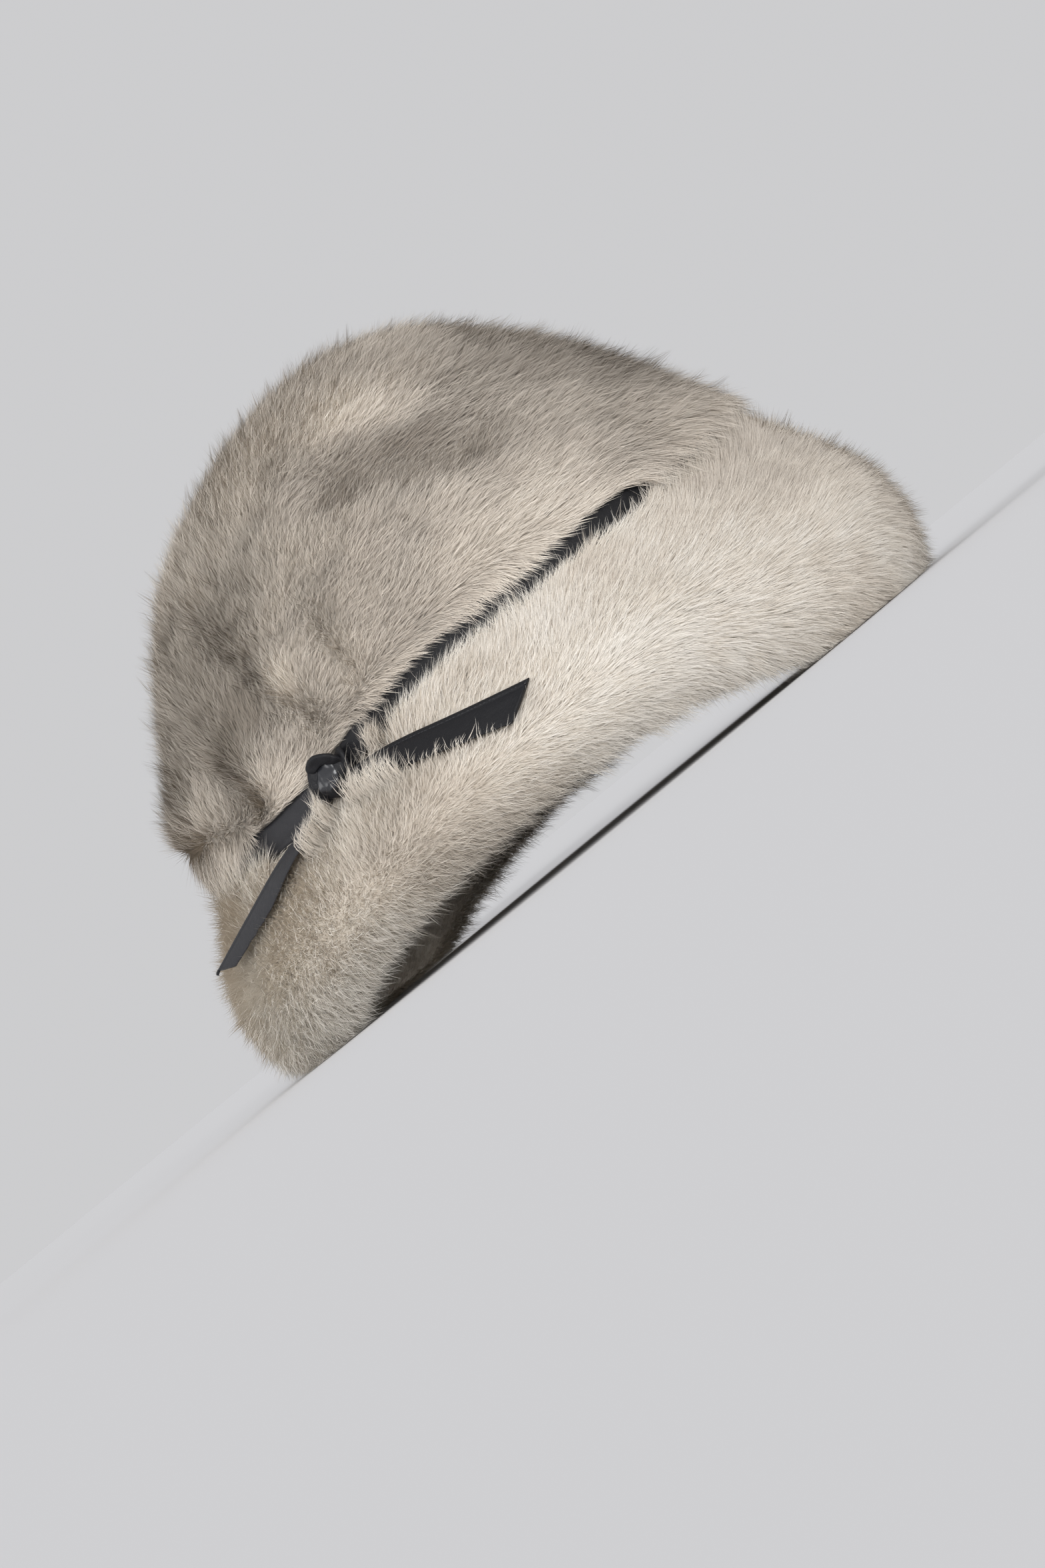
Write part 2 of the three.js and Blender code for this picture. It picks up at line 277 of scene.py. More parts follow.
# The underfur: a dense fine wool that fills the pile to most of its height. It is matt, takes the tone
# of the coat and is seen as soft grain between the guard hairs.
WOOL = (
    (0.0, "8c867f"), (0.22, "a8a198"), (0.42, "c2baaf"), (0.62, "d8cfc3"), (0.82, "e7dfd3"), (1.0, "f3ece2"),
)
# Grains a metre: tufts of wool about 1.4 mm wide
WOOL_SCALE = 700.0
underfur, tree, shader = material("underfur")
place = node(tree, "ShaderNodeTexCoord")
told = node(tree, "ShaderNodeAttribute", {"attribute_name": "tone"})
wool = node(
    tree, "ShaderNodeTexNoise", None, {"Scale": WOOL_SCALE, "Detail": 3.0},
    {"Vector": place.outputs["Object"]},
)
grain = node(
    tree, "ShaderNodeMapRange", None, {"From Min": 0.3, "From Max": 0.7, "To Min": -0.14, "To Max": 0.14},
    {"Value": wool.outputs["Fac"]},
)
shade = node(
    tree, "ShaderNodeMath", {"operation": "ADD"}, None, {0: told.outputs["Fac"], 1: grain.outputs["Result"]}
)
tint = node(tree, "ShaderNodeValToRGB", links={"Fac": shade.outputs["Value"]})
ramp_stops(tint, WOOL)
tree.links.new(tint.outputs["Color"], shader.inputs["Base Color"])
bump = node(
    tree, "ShaderNodeBump", None, {"Strength": 0.5, "Distance": 0.0006}, {"Height": wool.outputs["Fac"]}
)
tree.links.new(bump.outputs["Normal"], shader.inputs["Normal"])
shader.inputs["Roughness"].default_value = 0.95
shader.inputs["Specular IOR Level"].default_value = 0.1


def waves(points, size, seed):
    """Smooth swells of a size over points in millimetres, mostly within -1 to 1."""
    rng = np.random.default_rng(seed)
    total = np.zeros(len(points))
    for _ in range(9):
        way = rng.normal(0, 1, 3)
        way *= 2 * math.pi * rng.uniform(0.35, 0.7) / size / np.linalg.norm(way)
        total += np.sin(points @ way + rng.uniform(0, 2 * math.pi))
    return total / 3.5


def swells(points, rows, start=0):
    """Swells added to a start. Each row has how much, how wide in millimetres, and a seed."""
    return sum((much * waves(points, wide, seed) for much, wide, seed in rows), start)


def noted(piece, name, values):
    """Keeps a number at each point of a piece, for its material to read."""
    told = piece.data.attributes.new(name, "FLOAT", "POINT")
    told.data.foreach_set("value", np.broadcast_to(values, len(piece.data.vertices)).astype(np.float32))


# Soft patches of the coat: a place in millimetres, its reach and how much lighter the hair is there. Some
# are the coat's own mottling; the others are painted shade along the crown's creases and on its shaded
# back and sides, and painted light low down by the band.
CROWN_MOTTLE_AND_PAINTED_LIGHT = (
    ((90, -17, 120), 28, -0.34),
    ((57, -66, 112), 16, -0.20),
    ((21, -86, 104), 15, -0.16),
    ((53, -60, 127), 10, -0.12),
    ((43, -61, 130), 8, -0.38),
    ((32, -63, 134), 8, -0.50),
    ((20, -63, 138), 8, -0.34),
    ((8, -63, 140), 9, -0.16),
    ((74, -32, 131), 14, -0.20),
    ((66, -16, 146), 14, -0.16),
    ((66, -78, 88), 14, 0.20),
    ((14, -80, 122), 9, 0.14),
    ((24, -54, 151), 14, 0.12),
    ((2, -55, 149), 16, -0.18),
    ((-50, -66, 118), 20, -0.24),
    ((-51, -78, 99), 15, -0.40),
    ((-67, -72, 91), 16, -0.42),
    ((-92, -30, 95), 26, -0.28),
    ((-20, -84, 108), 16, -0.16),
    ((-38, -84, 100), 8, 0.62),
    ((-61, -81, 82), 11, 0.34),
    ((-75, -50, 130), 26, -0.16),
    ((-56, -66, 72), 8, 0.34),
    ((11, -52, 160), 26, 0.16),
    ((48, -88, 86), 22, 0.22),
    ((-14, -90, 84), 14, 0.14),
    ((100, -38, 88), 16, 0.14),
    ((80, 30, 125), 26, -0.24),
    ((-20, 80, 110), 22, -0.26),
    ((40, 78, 92), 24, 0.20),
    ((-88, 34, 100), 26, -0.20),
    ((-30, 30, 168), 24, 0.12),
)
CROWN_TONE = 0.35
TONE_SWELLS = ((0.09, 22.0, 5), (0.06, 7.0, 6))


def tone_with_painted_light(points, patches, base):
    """How light the coat is at each point: its patches, partly the coat's mottling and partly painted light
    and shade, and soft swells between them.
    """
    tone = np.full(len(points), float(base))
    for middle, reach, lift in patches:
        tone += lift * np.exp(-np.sum((points - np.array(middle, float)) ** 2, axis=1) / reach**2)
    return swells(points, TONE_SWELLS, tone)


def woolly(pelt, patches, base):
    """Gives a pelt its underfur, with the coat's tone and its painted light and shade kept on its points."""
    points = np.array([v.co for v in pelt.data.vertices]) / MM
    noted(pelt, "tone", tone_with_painted_light(points, patches, base))
    pelt.data.materials.append(underfur)


# Steps of an even spread over a plane, and how far a seed moves it along
EVEN_ANGLE, EVEN_WALK = (0.7548776662, 0.37), (0.5698402910, 0.61)
TRIES_A_HAIR = 6


def scatter(form, count, span, seed, side):
    """Roots spread evenly over a stretch of a form, as angles and walks, by a golden-ratio sequence."""
    rng = np.random.default_rng(seed)
    tries = count * TRIES_A_HAIR
    steps = np.arange(1, tries + 1)
    angle = (EVEN_ANGLE[0] * steps + seed * EVEN_ANGLE[1]) % 1 * 180 * side
    walk = span[0] + (EVEN_WALK[0] * steps + seed * EVEN_WALK[1]) % 1 * (span[1] - span[0])
    area = surface(form, angle, walk)[3]
    chosen = np.flatnonzero(rng.random(tries) < area / np.quantile(area, 0.999))
    if len(chosen) > count:
        chosen = np.sort(rng.permutation(chosen)[:count])
    return angle[chosen], walk[chosen]


# The coat lies in soft clumps: how far apart they are, how much their tips draw together, how unevenly,
# and how much of that the hairs' lower ends follow
CLUMP_APART, CLUMP_PULL, CLUMP_UNEVEN, CLUMP_LOWER = 2.2, 0.3, (0.4, 1.2), 0.15


def clumped(path, seed):
    """Draws the tips of neighbouring hairs together."""
    rng = np.random.default_rng(seed)
    cell = np.floor(path[:, 1] / CLUMP_APART + rng.random(3)).astype(np.int64)
    keys = cell @ np.array([73856093, 19349663, 83492791])
    _, group = np.unique(keys, return_inverse=True)
    total = np.zeros((group.max() + 1, 3))
    np.add.at(total, group, path[:, -1])
    mean = total / np.bincount(group)[:, None]
    path = path.copy()
    share = CLUMP_PULL * rng.uniform(*CLUMP_UNEVEN, len(path))[:, None]
    path[:, -1] += (mean[group] - path[:, -1]) * share
    path[:, -2] += (mean[group] - path[:, -1]) * share * CLUMP_LOWER
    return path


def turned(first, second, angle):
    """Two ways at right angles to each other, turned in their plane by an angle in radians."""
    return first * np.cos(angle) + second * np.sin(angle), second * np.cos(angle) - first * np.sin(angle)


# Most that a hair is twisted, its width below the tip as a share of that at the root, the lowest it lies
# over the floor, and the share of its shading that follows the coat rather than the single hair
TWIST, TAPER, FLOOR_CLEAR, COAT_SHEEN = 45.0, 0.7, 0.25, 0.86
# A hair's strip on its map: clear of the map's edges, and as wide as this to each side
MAP_EDGE, MAP_SPAN, MAP_SIDE = 0.02, 0.96, 0.004


def hairs(name, path, normal, width, tone, seed):
    """One mesh of flat tapering hairs. Its map runs across by the hair's tone and up from root to tip."""
    rng = np.random.default_rng(seed)
    path = path.copy()
    path[..., 2] = np.maximum(path[..., 2], FLOOR_CLEAR)
    count, knots, _ = path.shape
    along = unit(path[:, -1] - path[:, 0])
    side = unit(np.cross(along, normal))
    twist = np.radians(rng.uniform(-TWIST, TWIST, count))[:, None]
    side, raised = turned(side, np.cross(side, along), twist)
    taper = np.linspace(1.0, TAPER, knots - 1)
    corners = []
    for k in range(knots - 1):
        half = side * (width / 2 * taper[k])[:, None]
        corners += [path[:, k] - half, path[:, k] + half]
    corners.append(path[:, -1])
    points = np.stack(corners, axis=1) * MM
    per = points.shape[1]
    first = np.arange(count)[:, None] * per
    loops = [first + np.array([2 * k, 2 * k + 1, 2 * k + 3, 2 * k + 2]) for k in range(knots - 2)]
    loops.append(first + np.array([per - 3, per - 2, per - 1]))
    corner_ids = np.concatenate(loops, axis=1)
    sizes = np.tile([4] * (knots - 2) + [3], count)
    data = bpy.data.meshes.new(name)
    data.vertices.add(count * per)
    data.vertices.foreach_set("co", points.astype(np.float32).ravel())
    data.loops.add(corner_ids.size)
    data.loops.foreach_set("vertex_index", corner_ids.astype(np.int32).ravel())
    data.polygons.add(len(sizes))
    starts = np.concatenate([[0], np.cumsum(sizes)[:-1]])
    data.polygons.foreach_set("loop_start", starts.astype(np.int32))
    data.update(calc_edges=True)
    levels = np.linspace(MAP_EDGE, 1 - MAP_EDGE, knots)
    height = np.concatenate([np.repeat(levels[:-1], 2), levels[-1:]])
    shift = np.concatenate([np.tile([-MAP_SIDE, MAP_SIDE], knots - 1), [0.0]])
    spots = np.clip(tone, 0.0, 1.0)[:, None] * MAP_SPAN + MAP_EDGE + shift
    map_points = np.stack([spots, np.broadcast_to(height, spots.shape)], axis=-1).reshape(-1, 2)
    layer = data.uv_layers.new(name="OFBake")
    layer.uv.foreach_set("vector", map_points[corner_ids.ravel()].astype(np.float32).ravel())
    soft = unit(normal * COAT_SHEEN + raised * (1 - COAT_SHEEN))
    data.normals_split_custom_set_from_vertices(np.repeat(soft, per, axis=0))
    data.materials.append(mink_fur)
    return in_scene(name, data)


def table_at(table, value):
    """A table's value in between its rows."""
    rows = np.array(table, float)
    return np.interp(value, rows[:, 0], rows[:, 1])


# Rise of the crown's hair in degrees up from the front, by how far forward it grows
CROWN_COMB = ((-120, 58), (-84, 44), (-25, 10), (15, -3), (60, -6), (112, -20))
# Lie of the crown's lowest hair in degrees up from the front, by angle: it hangs over the band
CROWN_HANG = (
    (0, -85), (33, -75), (40, -62), (44, -18), (48, -6), (52, -4), (56, -18), (61, -46), (69, -68), (75, -68),
    (81, -40), (87, -34), (98, -48), (107, -26), (115, -4), (131, -4), (137, -88), (180, -90),
)
HANG_REACH = 7.5
RISE_SWELLS = ((9, 24.0, 3), (6, 8.0, 13))
SIDE_SWELLS = ((0.2, 26.0, 8),)
# How unevenly hair is combed, in degrees
UNEVEN = 9


def crown_comb(here, normal, forward, up, angle, walk, rng):
    """Crown hair points to the front, up at the back and down in front, and hangs over the band."""
    rise = np.radians(swells(here, RISE_SWELLS, table_at(CROWN_COMB, here[:, 0])))
    aim = np.stack([np.cos(rise), swells(here, SIDE_SWELLS), np.sin(rise)], axis=1)
    comb = unit(aim - normal * np.sum(aim * normal, axis=1, keepdims=True))
    above = here[:, 2] - around(SEAM_HEIGHTS, angle) - LIP_UP
    near = np.exp(-((above / HANG_REACH) ** 2))[:, None]
    hang = np.radians(table_at(CROWN_HANG, np.abs(angle)))[:, None]
    comb = comb * (1 - near) + (forward * np.cos(hang) + up * np.sin(hang)) * near
    swing = np.radians(rng.normal(0, UNEVEN, len(here)))[:, None]
    return unit(comb * np.cos(swing) + np.cross(normal, comb) * np.sin(swing))


# Kinds of hair: knots, length, lean off the hide at root and at tip, width, how much lighter than the coat
HAIR_KINDS = {
    "coat": (2, (4.4, 7.0), (24, 56), (24, 56), (0.23, 0.36), 0.0),
    "guard": (3, (7.0, 11.0), (44, 64), (12, 40), (0.13, 0.21), 0.18),
    "fuzz": (2, (6.0, 10.5), (38, 78), (38, 78), (0.11, 0.18), 0.12),
    "edge": (3, (5.5, 10.5), (40, 62), (2, 26), (0.14, 0.25), 0.14),
    "fringe": (3, (8, 13), (24, 60), (-6, 30), (0.13, 0.21), 0.18),
    "locks": (3, (7.5, 12.0), (46, 74), (28, 68), (0.12, 0.20), 0.0),
}
# The longest hair stands in small pointed locks: hairs in each, how far apart they root, and how much
# their tips draw together
LOCK_HAIRS, LOCK_WIDE, LOCK_PULL = 10, 0.9, (0.2, 0.75)


def drawn(rng, limits, count, locked):
    """Random values within limits, one for each hair, or one that all the hairs of a lock share."""
    if locked:
        return np.repeat(rng.uniform(*limits, count // LOCK_HAIRS), LOCK_HAIRS)
    return rng.uniform(*limits, count)


def pointed(path, rng):
    """Draws the tips of each lock's hairs together."""
    tips = path[:, -1].reshape(-1, LOCK_HAIRS, 3).mean(axis=1)
    path = path.copy()
    pull = rng.uniform(*LOCK_PULL, (len(path), 1))
    path[:, -1] += (np.repeat(tips, LOCK_HAIRS, axis=0) - path[:, -1]) * pull
    return path


# No hair grows through the leather: one whose path would meet it is left out. Roots this near the seam
# are tried, and all that lie below it as far to the wearer's right as the strap's ends.
leather_trees = []
for piece in ("hat_band", "knot", "tail_front", "tail_back"):
    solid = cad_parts[piece]
    places = [solid.matrix_world @ v.co for v in solid.data.vertices]
    leather_trees.append(BVHTree.FromPolygons(places, [list(p.vertices) for p in solid.data.polygons]))
LEATHER_NEAR, LEATHER_RIGHT = 14.0, -40.0


def clear_of_leather(path):
    """Which hairs pass no leather, tried along each of their steps."""
    keep = np.ones(len(path), bool)
    root = path[:, 0]
    angle = np.degrees(np.arctan2(root[:, 1] / SEAM_WIDTH, (root[:, 0] - SEAM_MIDDLE) / SEAM_LENGTH))
    seam = around(SEAM_HEIGHTS, angle)
    beside = np.abs(root[:, 2] - seam) < LEATHER_NEAR
    for row in np.flatnonzero(beside | ((root[:, 1] < LEATHER_RIGHT) & (root[:, 2] < seam))):
        for start, end in zip(path[row, :-1], path[row, 1:]):
            a, b = Vector(start * MM), Vector(end * MM)
            way = b - a
            if any(leather.ray_cast(a, way, way.length)[0] is not None for leather in leather_trees):
                keep[row] = False
                break
    return keep


def band_distance(here, angle):
    """How far points lie from the edge of the groove that holds the band, up or down."""
    return np.maximum(np.abs(here[:, 2] - around(SEAM_HEIGHTS, angle)) - LIP_UP, 0)


def joined(parts, name):
    """Joins parts into the first of them, under the piece's own name."""
    bpy.ops.object.select_all(action="DESELECT")
    for part in parts:
        part.select_set(True)
    bpy.context.view_layer.objects.active = parts[0]
    bpy.ops.object.join()
    parts[0].name = name
    return parts[0]


# Stretch behind the knot where the band lies bare, as angles from the front at the wearer's right, and
# how far over the groove's edge a hair's tip may reach there
BARE_BAND, BARE_OVERLAP = (115.0, 133.0), 0.7
# Where the band starts and stops showing, and over how many degrees: beyond, longer hair covers it
SHOWS_FROM, SHOWS_TO = (46.0, 4.0), (132.0, 3.0)
# Beside the band the hide turns in: how far from it that is felt, how much flatter the hair lies there,
# how much nearer the surface it roots, and how much longer it is where it covers the band
EDGE_REACH, EDGE_FLATTER, EDGE_SHALLOWER, EDGE_LONGER = 6.0, 0.55, 0.9, 0.55
# How much the hair's length swells over the coat, how deep it roots in the hide, how uneven its tone is
LENGTH_SWELLS, ROOT_DEEP, TONE_UNEVEN = ((0.12, 9.0, 4),), 0.3, 0.045


def coat(name, form, side, span, seed, combing, patches, base, counts):
    """One stretch of a piece's coat, all kinds of its hair joined in one mesh."""
    grown = []
    for order, (kind, count) in enumerate(counts):
        knots, lengths, low_lean, high_lean, widths, lighter = HAIR_KINDS[kind]
        rng = np.random.default_rng(seed + 100 * order)
        locked = kind == "locks"
        angle, walk = scatter(form, count, span, seed + 100 * order, side)
        if locked:
            angle, walk = np.repeat(angle, LOCK_HAIRS), np.repeat(walk, LOCK_HAIRS)
        here, normal, forward, _ = surface(form, angle, walk)
        up = np.cross(normal, forward) * -np.sign(angle)[:, None]
        if locked:
            apart = rng.normal(0, LOCK_WIDE, (2, len(here), 1))
            here = here + forward * apart[0] + up * apart[1]
        comb = combing(here, normal, forward, up, angle, walk, rng)
        edge = np.exp(-((band_distance(here, angle) / EDGE_REACH) ** 2))
        turn = np.abs(angle)
        hidden = np.clip((SHOWS_FROM[0] - turn) / SHOWS_FROM[1], 0, 1)
        hidden += np.clip((turn - SHOWS_TO[0]) / SHOWS_TO[1], 0, 1)
        longer = 1 + swells(here, LENGTH_SWELLS) + EDGE_LONGER * edge * hidden
        length = drawn(rng, lengths, len(angle), locked) * longer
        low = drawn(rng, low_lean, len(angle), locked) * (1 - EDGE_FLATTER * edge)
        high = low if knots == 2 else drawn(rng, high_lean, len(angle), locked)
        path = [here - normal * ((PILE + ROOT_DEEP) * (1 - EDGE_SHALLOWER * edge))[:, None]]
        for k in range(1, knots):
            lean = np.radians(low + (high - low) * (k - 1) / max(knots - 2, 1))[:, None]
            step = comb * np.cos(lean) + normal * np.sin(lean)
            path.append(path[-1] + step * (length / (knots - 1))[:, None])
        path = np.stack(path, axis=1)
        if kind == "coat":
            path = clumped(path, seed)
        if locked:
            path = pointed(path, rng)
        tone = tone_with_painted_light(here, patches, base) + lighter + rng.normal(0, TONE_UNEVEN, len(here))
        width = rng.uniform(*widths, len(here))
        bare = (-angle > BARE_BAND[0]) & (-angle < BARE_BAND[1])
        over_band = np.abs(path[:, -1, 2] - around(SEAM_HEIGHTS, angle)) < LIP_UP - BARE_OVERLAP
        keep = clear_of_leather(path) & ~(bare & over_band)
        part = name + "_" + kind
        grown.append(hairs(part, path[keep], normal[keep], width[keep], tone[keep], seed + 60))
    return joined(grown, name)


CROWN_COUNTS = (("coat", 104000), ("guard", 15000), ("fuzz", 26000), ("locks", 500))
CROWN_EDGE_COUNTS = (("edge", 2200),)
CROWN_SPAN, CROWN_EDGE_SPAN = (0.0, 0.999), (0.0, 0.022)
EDGE_LIGHTER = 0.1
for name, side, seed, span, counts, tone in (
    ("crown_fur_right", -1, 11, CROWN_SPAN, CROWN_COUNTS, CROWN_TONE),
    ("crown_fur_right_edge", -1, 41, CROWN_EDGE_SPAN, CROWN_EDGE_COUNTS, CROWN_TONE + EDGE_LIGHTER),
    ("crown_fur_left", 1, 12, CROWN_SPAN, CROWN_COUNTS, CROWN_TONE),
    ("crown_fur_left_edge", 1, 42, CROWN_EDGE_SPAN, CROWN_EDGE_COUNTS, CROWN_TONE + EDGE_LIGHTER),
):
    fur = coat(name, crown_form, side, span, seed, crown_comb, CROWN_MOTTLE_AND_PAINTED_LIGHT, tone, counts)
    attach(fur, "root")
woolly(crown_pelt, CROWN_MOTTLE_AND_PAINTED_LIGHT, CROWN_TONE)
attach(crown_pelt, "root")
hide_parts("crown")

# The brim: one deep roll of the same fur, hair side out above and below, sewn to the crown at the band
# and turned over at the rim. It is flattened where it rests.
BRIM_REACH, BRIM_DEPTH = 22.0, 73.0
RIM_HEIGHTS = (-4, -2, 14, 19, 13, -4, -4.5)
BRIM_REACHES = (24, 23, 22, 22, 22, 24, 24)
# The brim cut through at its full depth: out from the seam and down from it
BRIM_OUTLINE = (
    (LIP_OUT, LIP_UP), (9.5, 17), (18, 31), (BRIM_REACH, 44), (20.5, 58), (15, 68),
    (8, BRIM_DEPTH), (1.5, 65), (-2.5, 44), (-9.5, 22), (-WALL, 0.15),
)
# Angle and walk from the band at each end of a fold, its width and its depth
BRIM_FOLDS = (((-115, 0), (-103, 1), 9, 4), ((-101, 11), (-77, 35), 9, 2.6))


def walked(points):
    """How far along a line each of its points is."""
    return np.concatenate([[0], np.cumsum(np.linalg.norm(np.diff(points, axis=0), axis=1))])


def spline(points, steps):
    """Points the same distance apart along a smooth curve through a table of points, and its length."""
    table = np.array(points, float)
    ends = np.concatenate([table[:1], table, table[-1:]])
    share = np.linspace(0, 1, 60, endpoint=False)[:, None]
    curve = [smooth(a, b, c, d, share) for a, b, c, d in zip(ends, ends[1:], ends[2:], ends[3:])]
    curve = np.concatenate(curve + [table[-1:]])
    gone = walked(curve)
    even = np.linspace(0, gone[-1], steps)
    return np.stack([np.interp(even, gone, column) for column in curve.T], axis=1), gone[-1]


brim_section, brim_walk = spline([(out, -down) for out, down in BRIM_OUTLINE], 800)
section_places = np.linspace(0, brim_walk, len(brim_section))
SECTION_STEP = 0.4


def section_at(walk):
    """Places on the brim's cut, out and up from the seam, by the distance walked round it."""
    return np.stack([np.interp(walk, section_places, column) for column in brim_section.T], axis=-1)


def brim_plain(angle, walk, lift=0.0):
    """The outer form of the brim's fur without folds, by the distance walked round it from the band."""
    at = section_at(walk)
    along = unit(section_at(walk + SECTION_STEP) - section_at(walk - SECTION_STEP))
    seam = around(SEAM_HEIGHTS, angle)
    reach = np.where(at[..., 0] > 0, around(BRIM_REACHES, angle) / BRIM_REACH, 1)
    stretch = (seam - around(RIM_HEIGHTS, angle) - LIP_UP) / (BRIM_DEPTH - LIP_UP)
    below = (at[..., 1] + LIP_UP + along[..., 0] * lift) * stretch - LIP_UP
    height = seam + np.where(at[..., 1] < -LIP_UP, below, at[..., 1])
    ahead, left = oval(angle, (at[..., 0] - along[..., 1] * lift) * reach)
    return np.stack([SEAM_MIDDLE + ahead, left, np.maximum(height, 0)], axis=-1)


def brim_place(angle, walk, lift=0.0):
    """A single place on the brim without its folds."""
    return brim_plain(np.array([float(angle)]), np.array([float(walk)]), np.array([float(lift)]))[0]


BRIM_FOLD_LINES = [
    (brim_place(*start), brim_place(*end), wide, deep) for start, end, wide, deep in BRIM_FOLDS
]


def brim_form(angle, walk):
    """The outer form of the brim's fur."""
    plain = brim_plain(angle, walk)
    away = plain - np.array([SEAM_MIDDLE, 0, 0])
    away[..., 2] = 0
    return pressed(plain, BRIM_FOLD_LINES, unit(away))


BRIM_ROWS, PELT_ENDS, PELT_CLEAR = 72, 0.5, 1.5
rings = []
for walk in np.linspace(PELT_ENDS, brim_walk - PELT_ENDS, BRIM_ROWS):
    ring = inset(brim_form, ring_angles, whole_ring * walk, -PILE)
    ring[:, 2] = np.maximum(ring[:, 2], PELT_CLEAR)
    rings.append(ring)
brim_pelt = shell("brim_pelt", rings, [])

# Patches of the brim's coat, as for the crown: some are its own mottling, and those that lighten its lower
# front and lower back are painted light.
BRIM_MOTTLE_AND_PAINTED_LIGHT = (
    ((135, 0, 58), 34, -0.30),
    ((118, -46, 62), 22, -0.20),
    ((90, -77, 56), 16, -0.14),
    ((-26, -114, 36), 20, -0.16),
    ((-44, -112, 48), 13, -0.24),
    ((-78, -90, 34), 20, -0.04),
    ((-100, -66, 18), 26, 0.34),
    ((-80, -96, 8), 18, 0.20),
    ((-17, -103, 54), 9, 0.12),
    ((60, -108, 32), 34, 0.22),
    ((96, -86, 26), 24, 0.14),
    ((20, -112, 44), 16, 0.10),
    ((-60, -108, 14), 22, 0.14),
    ((80, 80, 50), 22, -0.16),
    ((-40, 110, 36), 30, -0.24),
    ((40, 105, 30), 32, 0.12),
    ((-125, 0, 40), 34, -0.08),
)
# The brim's base tone, and how much darker its inside is painted: painted shade under the brim.
BRIM_TONE, INSIDE_PAINTED_SHADE = 0.70, 0.12
# Comb of the brim's hair in degrees up from the front, by angle, near the band, half way and at the rim
COMB_TOP = (
    (0, 70), (20, 60), (33, 62), (40, 60), (44, 20), (48, 9), (52, 8), (56, 18), (61, 46), (69, 72), (75, 74),
    (81, 48), (87, 42), (94, 46), (99, 68), (107, 62), (112, 74), (115, -10), (131, -10), (137, 60),
    (180, 70),
)
COMB_MIDDLE = (
    (0, -60), (20, -25), (33, -8), (60, -4), (90, 2), (112, 14), (130, -10), (150, -40), (180, -80),
)
COMB_RIM = ((0, -85), (20, -55), (45, -35), (75, -32), (100, -50), (120, -75), (150, -100), (180, -90))
# Walk from the band round the outside to the rim, and how far the comb near the band is felt
OUTSIDE, TOP_REACH = 86.0, 12.0
# Behind the knot the coat is looser: from which angle, over how many degrees, and how much more unevenly
LOOSE_FROM, LOOSE_OVER, LOOSE_UNEVEN = 98, 25, 22
COMB_SWELLS = ((10, 22.0, 7), (6, 8.0, 17))
# A few hairs beside the band stray up across it: how much steeper, how many, and from how near
STRAY_RISE, STRAY_SHARE, STRAY_REACH = 40.0, 0.24, 5.0


def brim_comb(here, normal, forward, up, angle, walk, rng):
    """Brim hair points to the front, up over the band's edge, and fans down at the rim and inside it."""
    count = len(here)
    share = np.abs(walk) / OUTSIDE
    top, middle, rim = (table_at(t, np.abs(angle)) for t in (COMB_TOP, COMB_MIDDLE, COMB_RIM))
    edge = np.clip(np.abs(walk) / TOP_REACH, 0, 1)
    upper = top + (middle - top) * np.clip(0.35 * edge + share * 1.3, 0, 1)
    lie = upper + (rim - upper) * np.clip(share * 2 - 1, 0, 1) ** 1.3
    loose = np.clip((np.abs(angle) - LOOSE_FROM) / LOOSE_OVER, 0, 1)
    sway = swells(here, COMB_SWELLS)
    stray = STRAY_RISE * (rng.random(count) < STRAY_SHARE) * (np.abs(walk) < STRAY_REACH)
    lie = np.radians(lie + rng.normal(0, UNEVEN + LOOSE_UNEVEN * loose, count) + sway + stray)
    return forward * np.cos(lie)[:, None] + up * np.sin(lie)[:, None]


def brim_fur_form(angle, walk):
    """The brim's form walked the other way, so that its outside faces out."""
    return brim_form(angle, -walk)


OUTER_COUNTS = (("coat", 105000), ("guard", 15000), ("fuzz", 26000), ("locks", 400))
INNER_COUNTS = (("coat", 32000), ("fuzz", 4000))
EDGE_COUNTS = (("edge", 4500),)
FRINGE_COUNTS = (("fringe", 3200),)
OUTER_SPAN, EDGE_SPAN = (-OUTSIDE, -0.5), (-3.5, -0.3)
FRINGE_SPAN, INNER_SPAN = (-OUTSIDE, -58), (-brim_walk + 3, -OUTSIDE)
for name, side, seed, span, counts, tone in (
    ("brim_fur_right", -1, 21, OUTER_SPAN, OUTER_COUNTS, BRIM_TONE),
    ("brim_fur_left", 1, 22, OUTER_SPAN, OUTER_COUNTS, BRIM_TONE),
    ("brim_fur_edge_right", -1, 25, EDGE_SPAN, EDGE_COUNTS, BRIM_TONE + EDGE_LIGHTER),
    ("brim_fur_edge_left", 1, 26, EDGE_SPAN, EDGE_COUNTS, BRIM_TONE + EDGE_LIGHTER),
    ("brim_fringe_right", -1, 27, FRINGE_SPAN, FRINGE_COUNTS, BRIM_TONE + EDGE_LIGHTER),
    ("brim_fringe_left", 1, 28, FRINGE_SPAN, FRINGE_COUNTS, BRIM_TONE + EDGE_LIGHTER),
    ("brim_fur_inside_right", -1, 23, INNER_SPAN, INNER_COUNTS, BRIM_TONE - INSIDE_PAINTED_SHADE),
    ("brim_fur_inside_left", 1, 24, INNER_SPAN, INNER_COUNTS, BRIM_TONE - INSIDE_PAINTED_SHADE),
):
    fur = coat(name, brim_fur_form, side, span, seed, brim_comb, BRIM_MOTTLE_AND_PAINTED_LIGHT, tone, counts)
    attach(fur, "root")
woolly(brim_pelt, BRIM_MOTTLE_AND_PAINTED_LIGHT, BRIM_TONE)
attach(brim_pelt, "root")
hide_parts("brim")

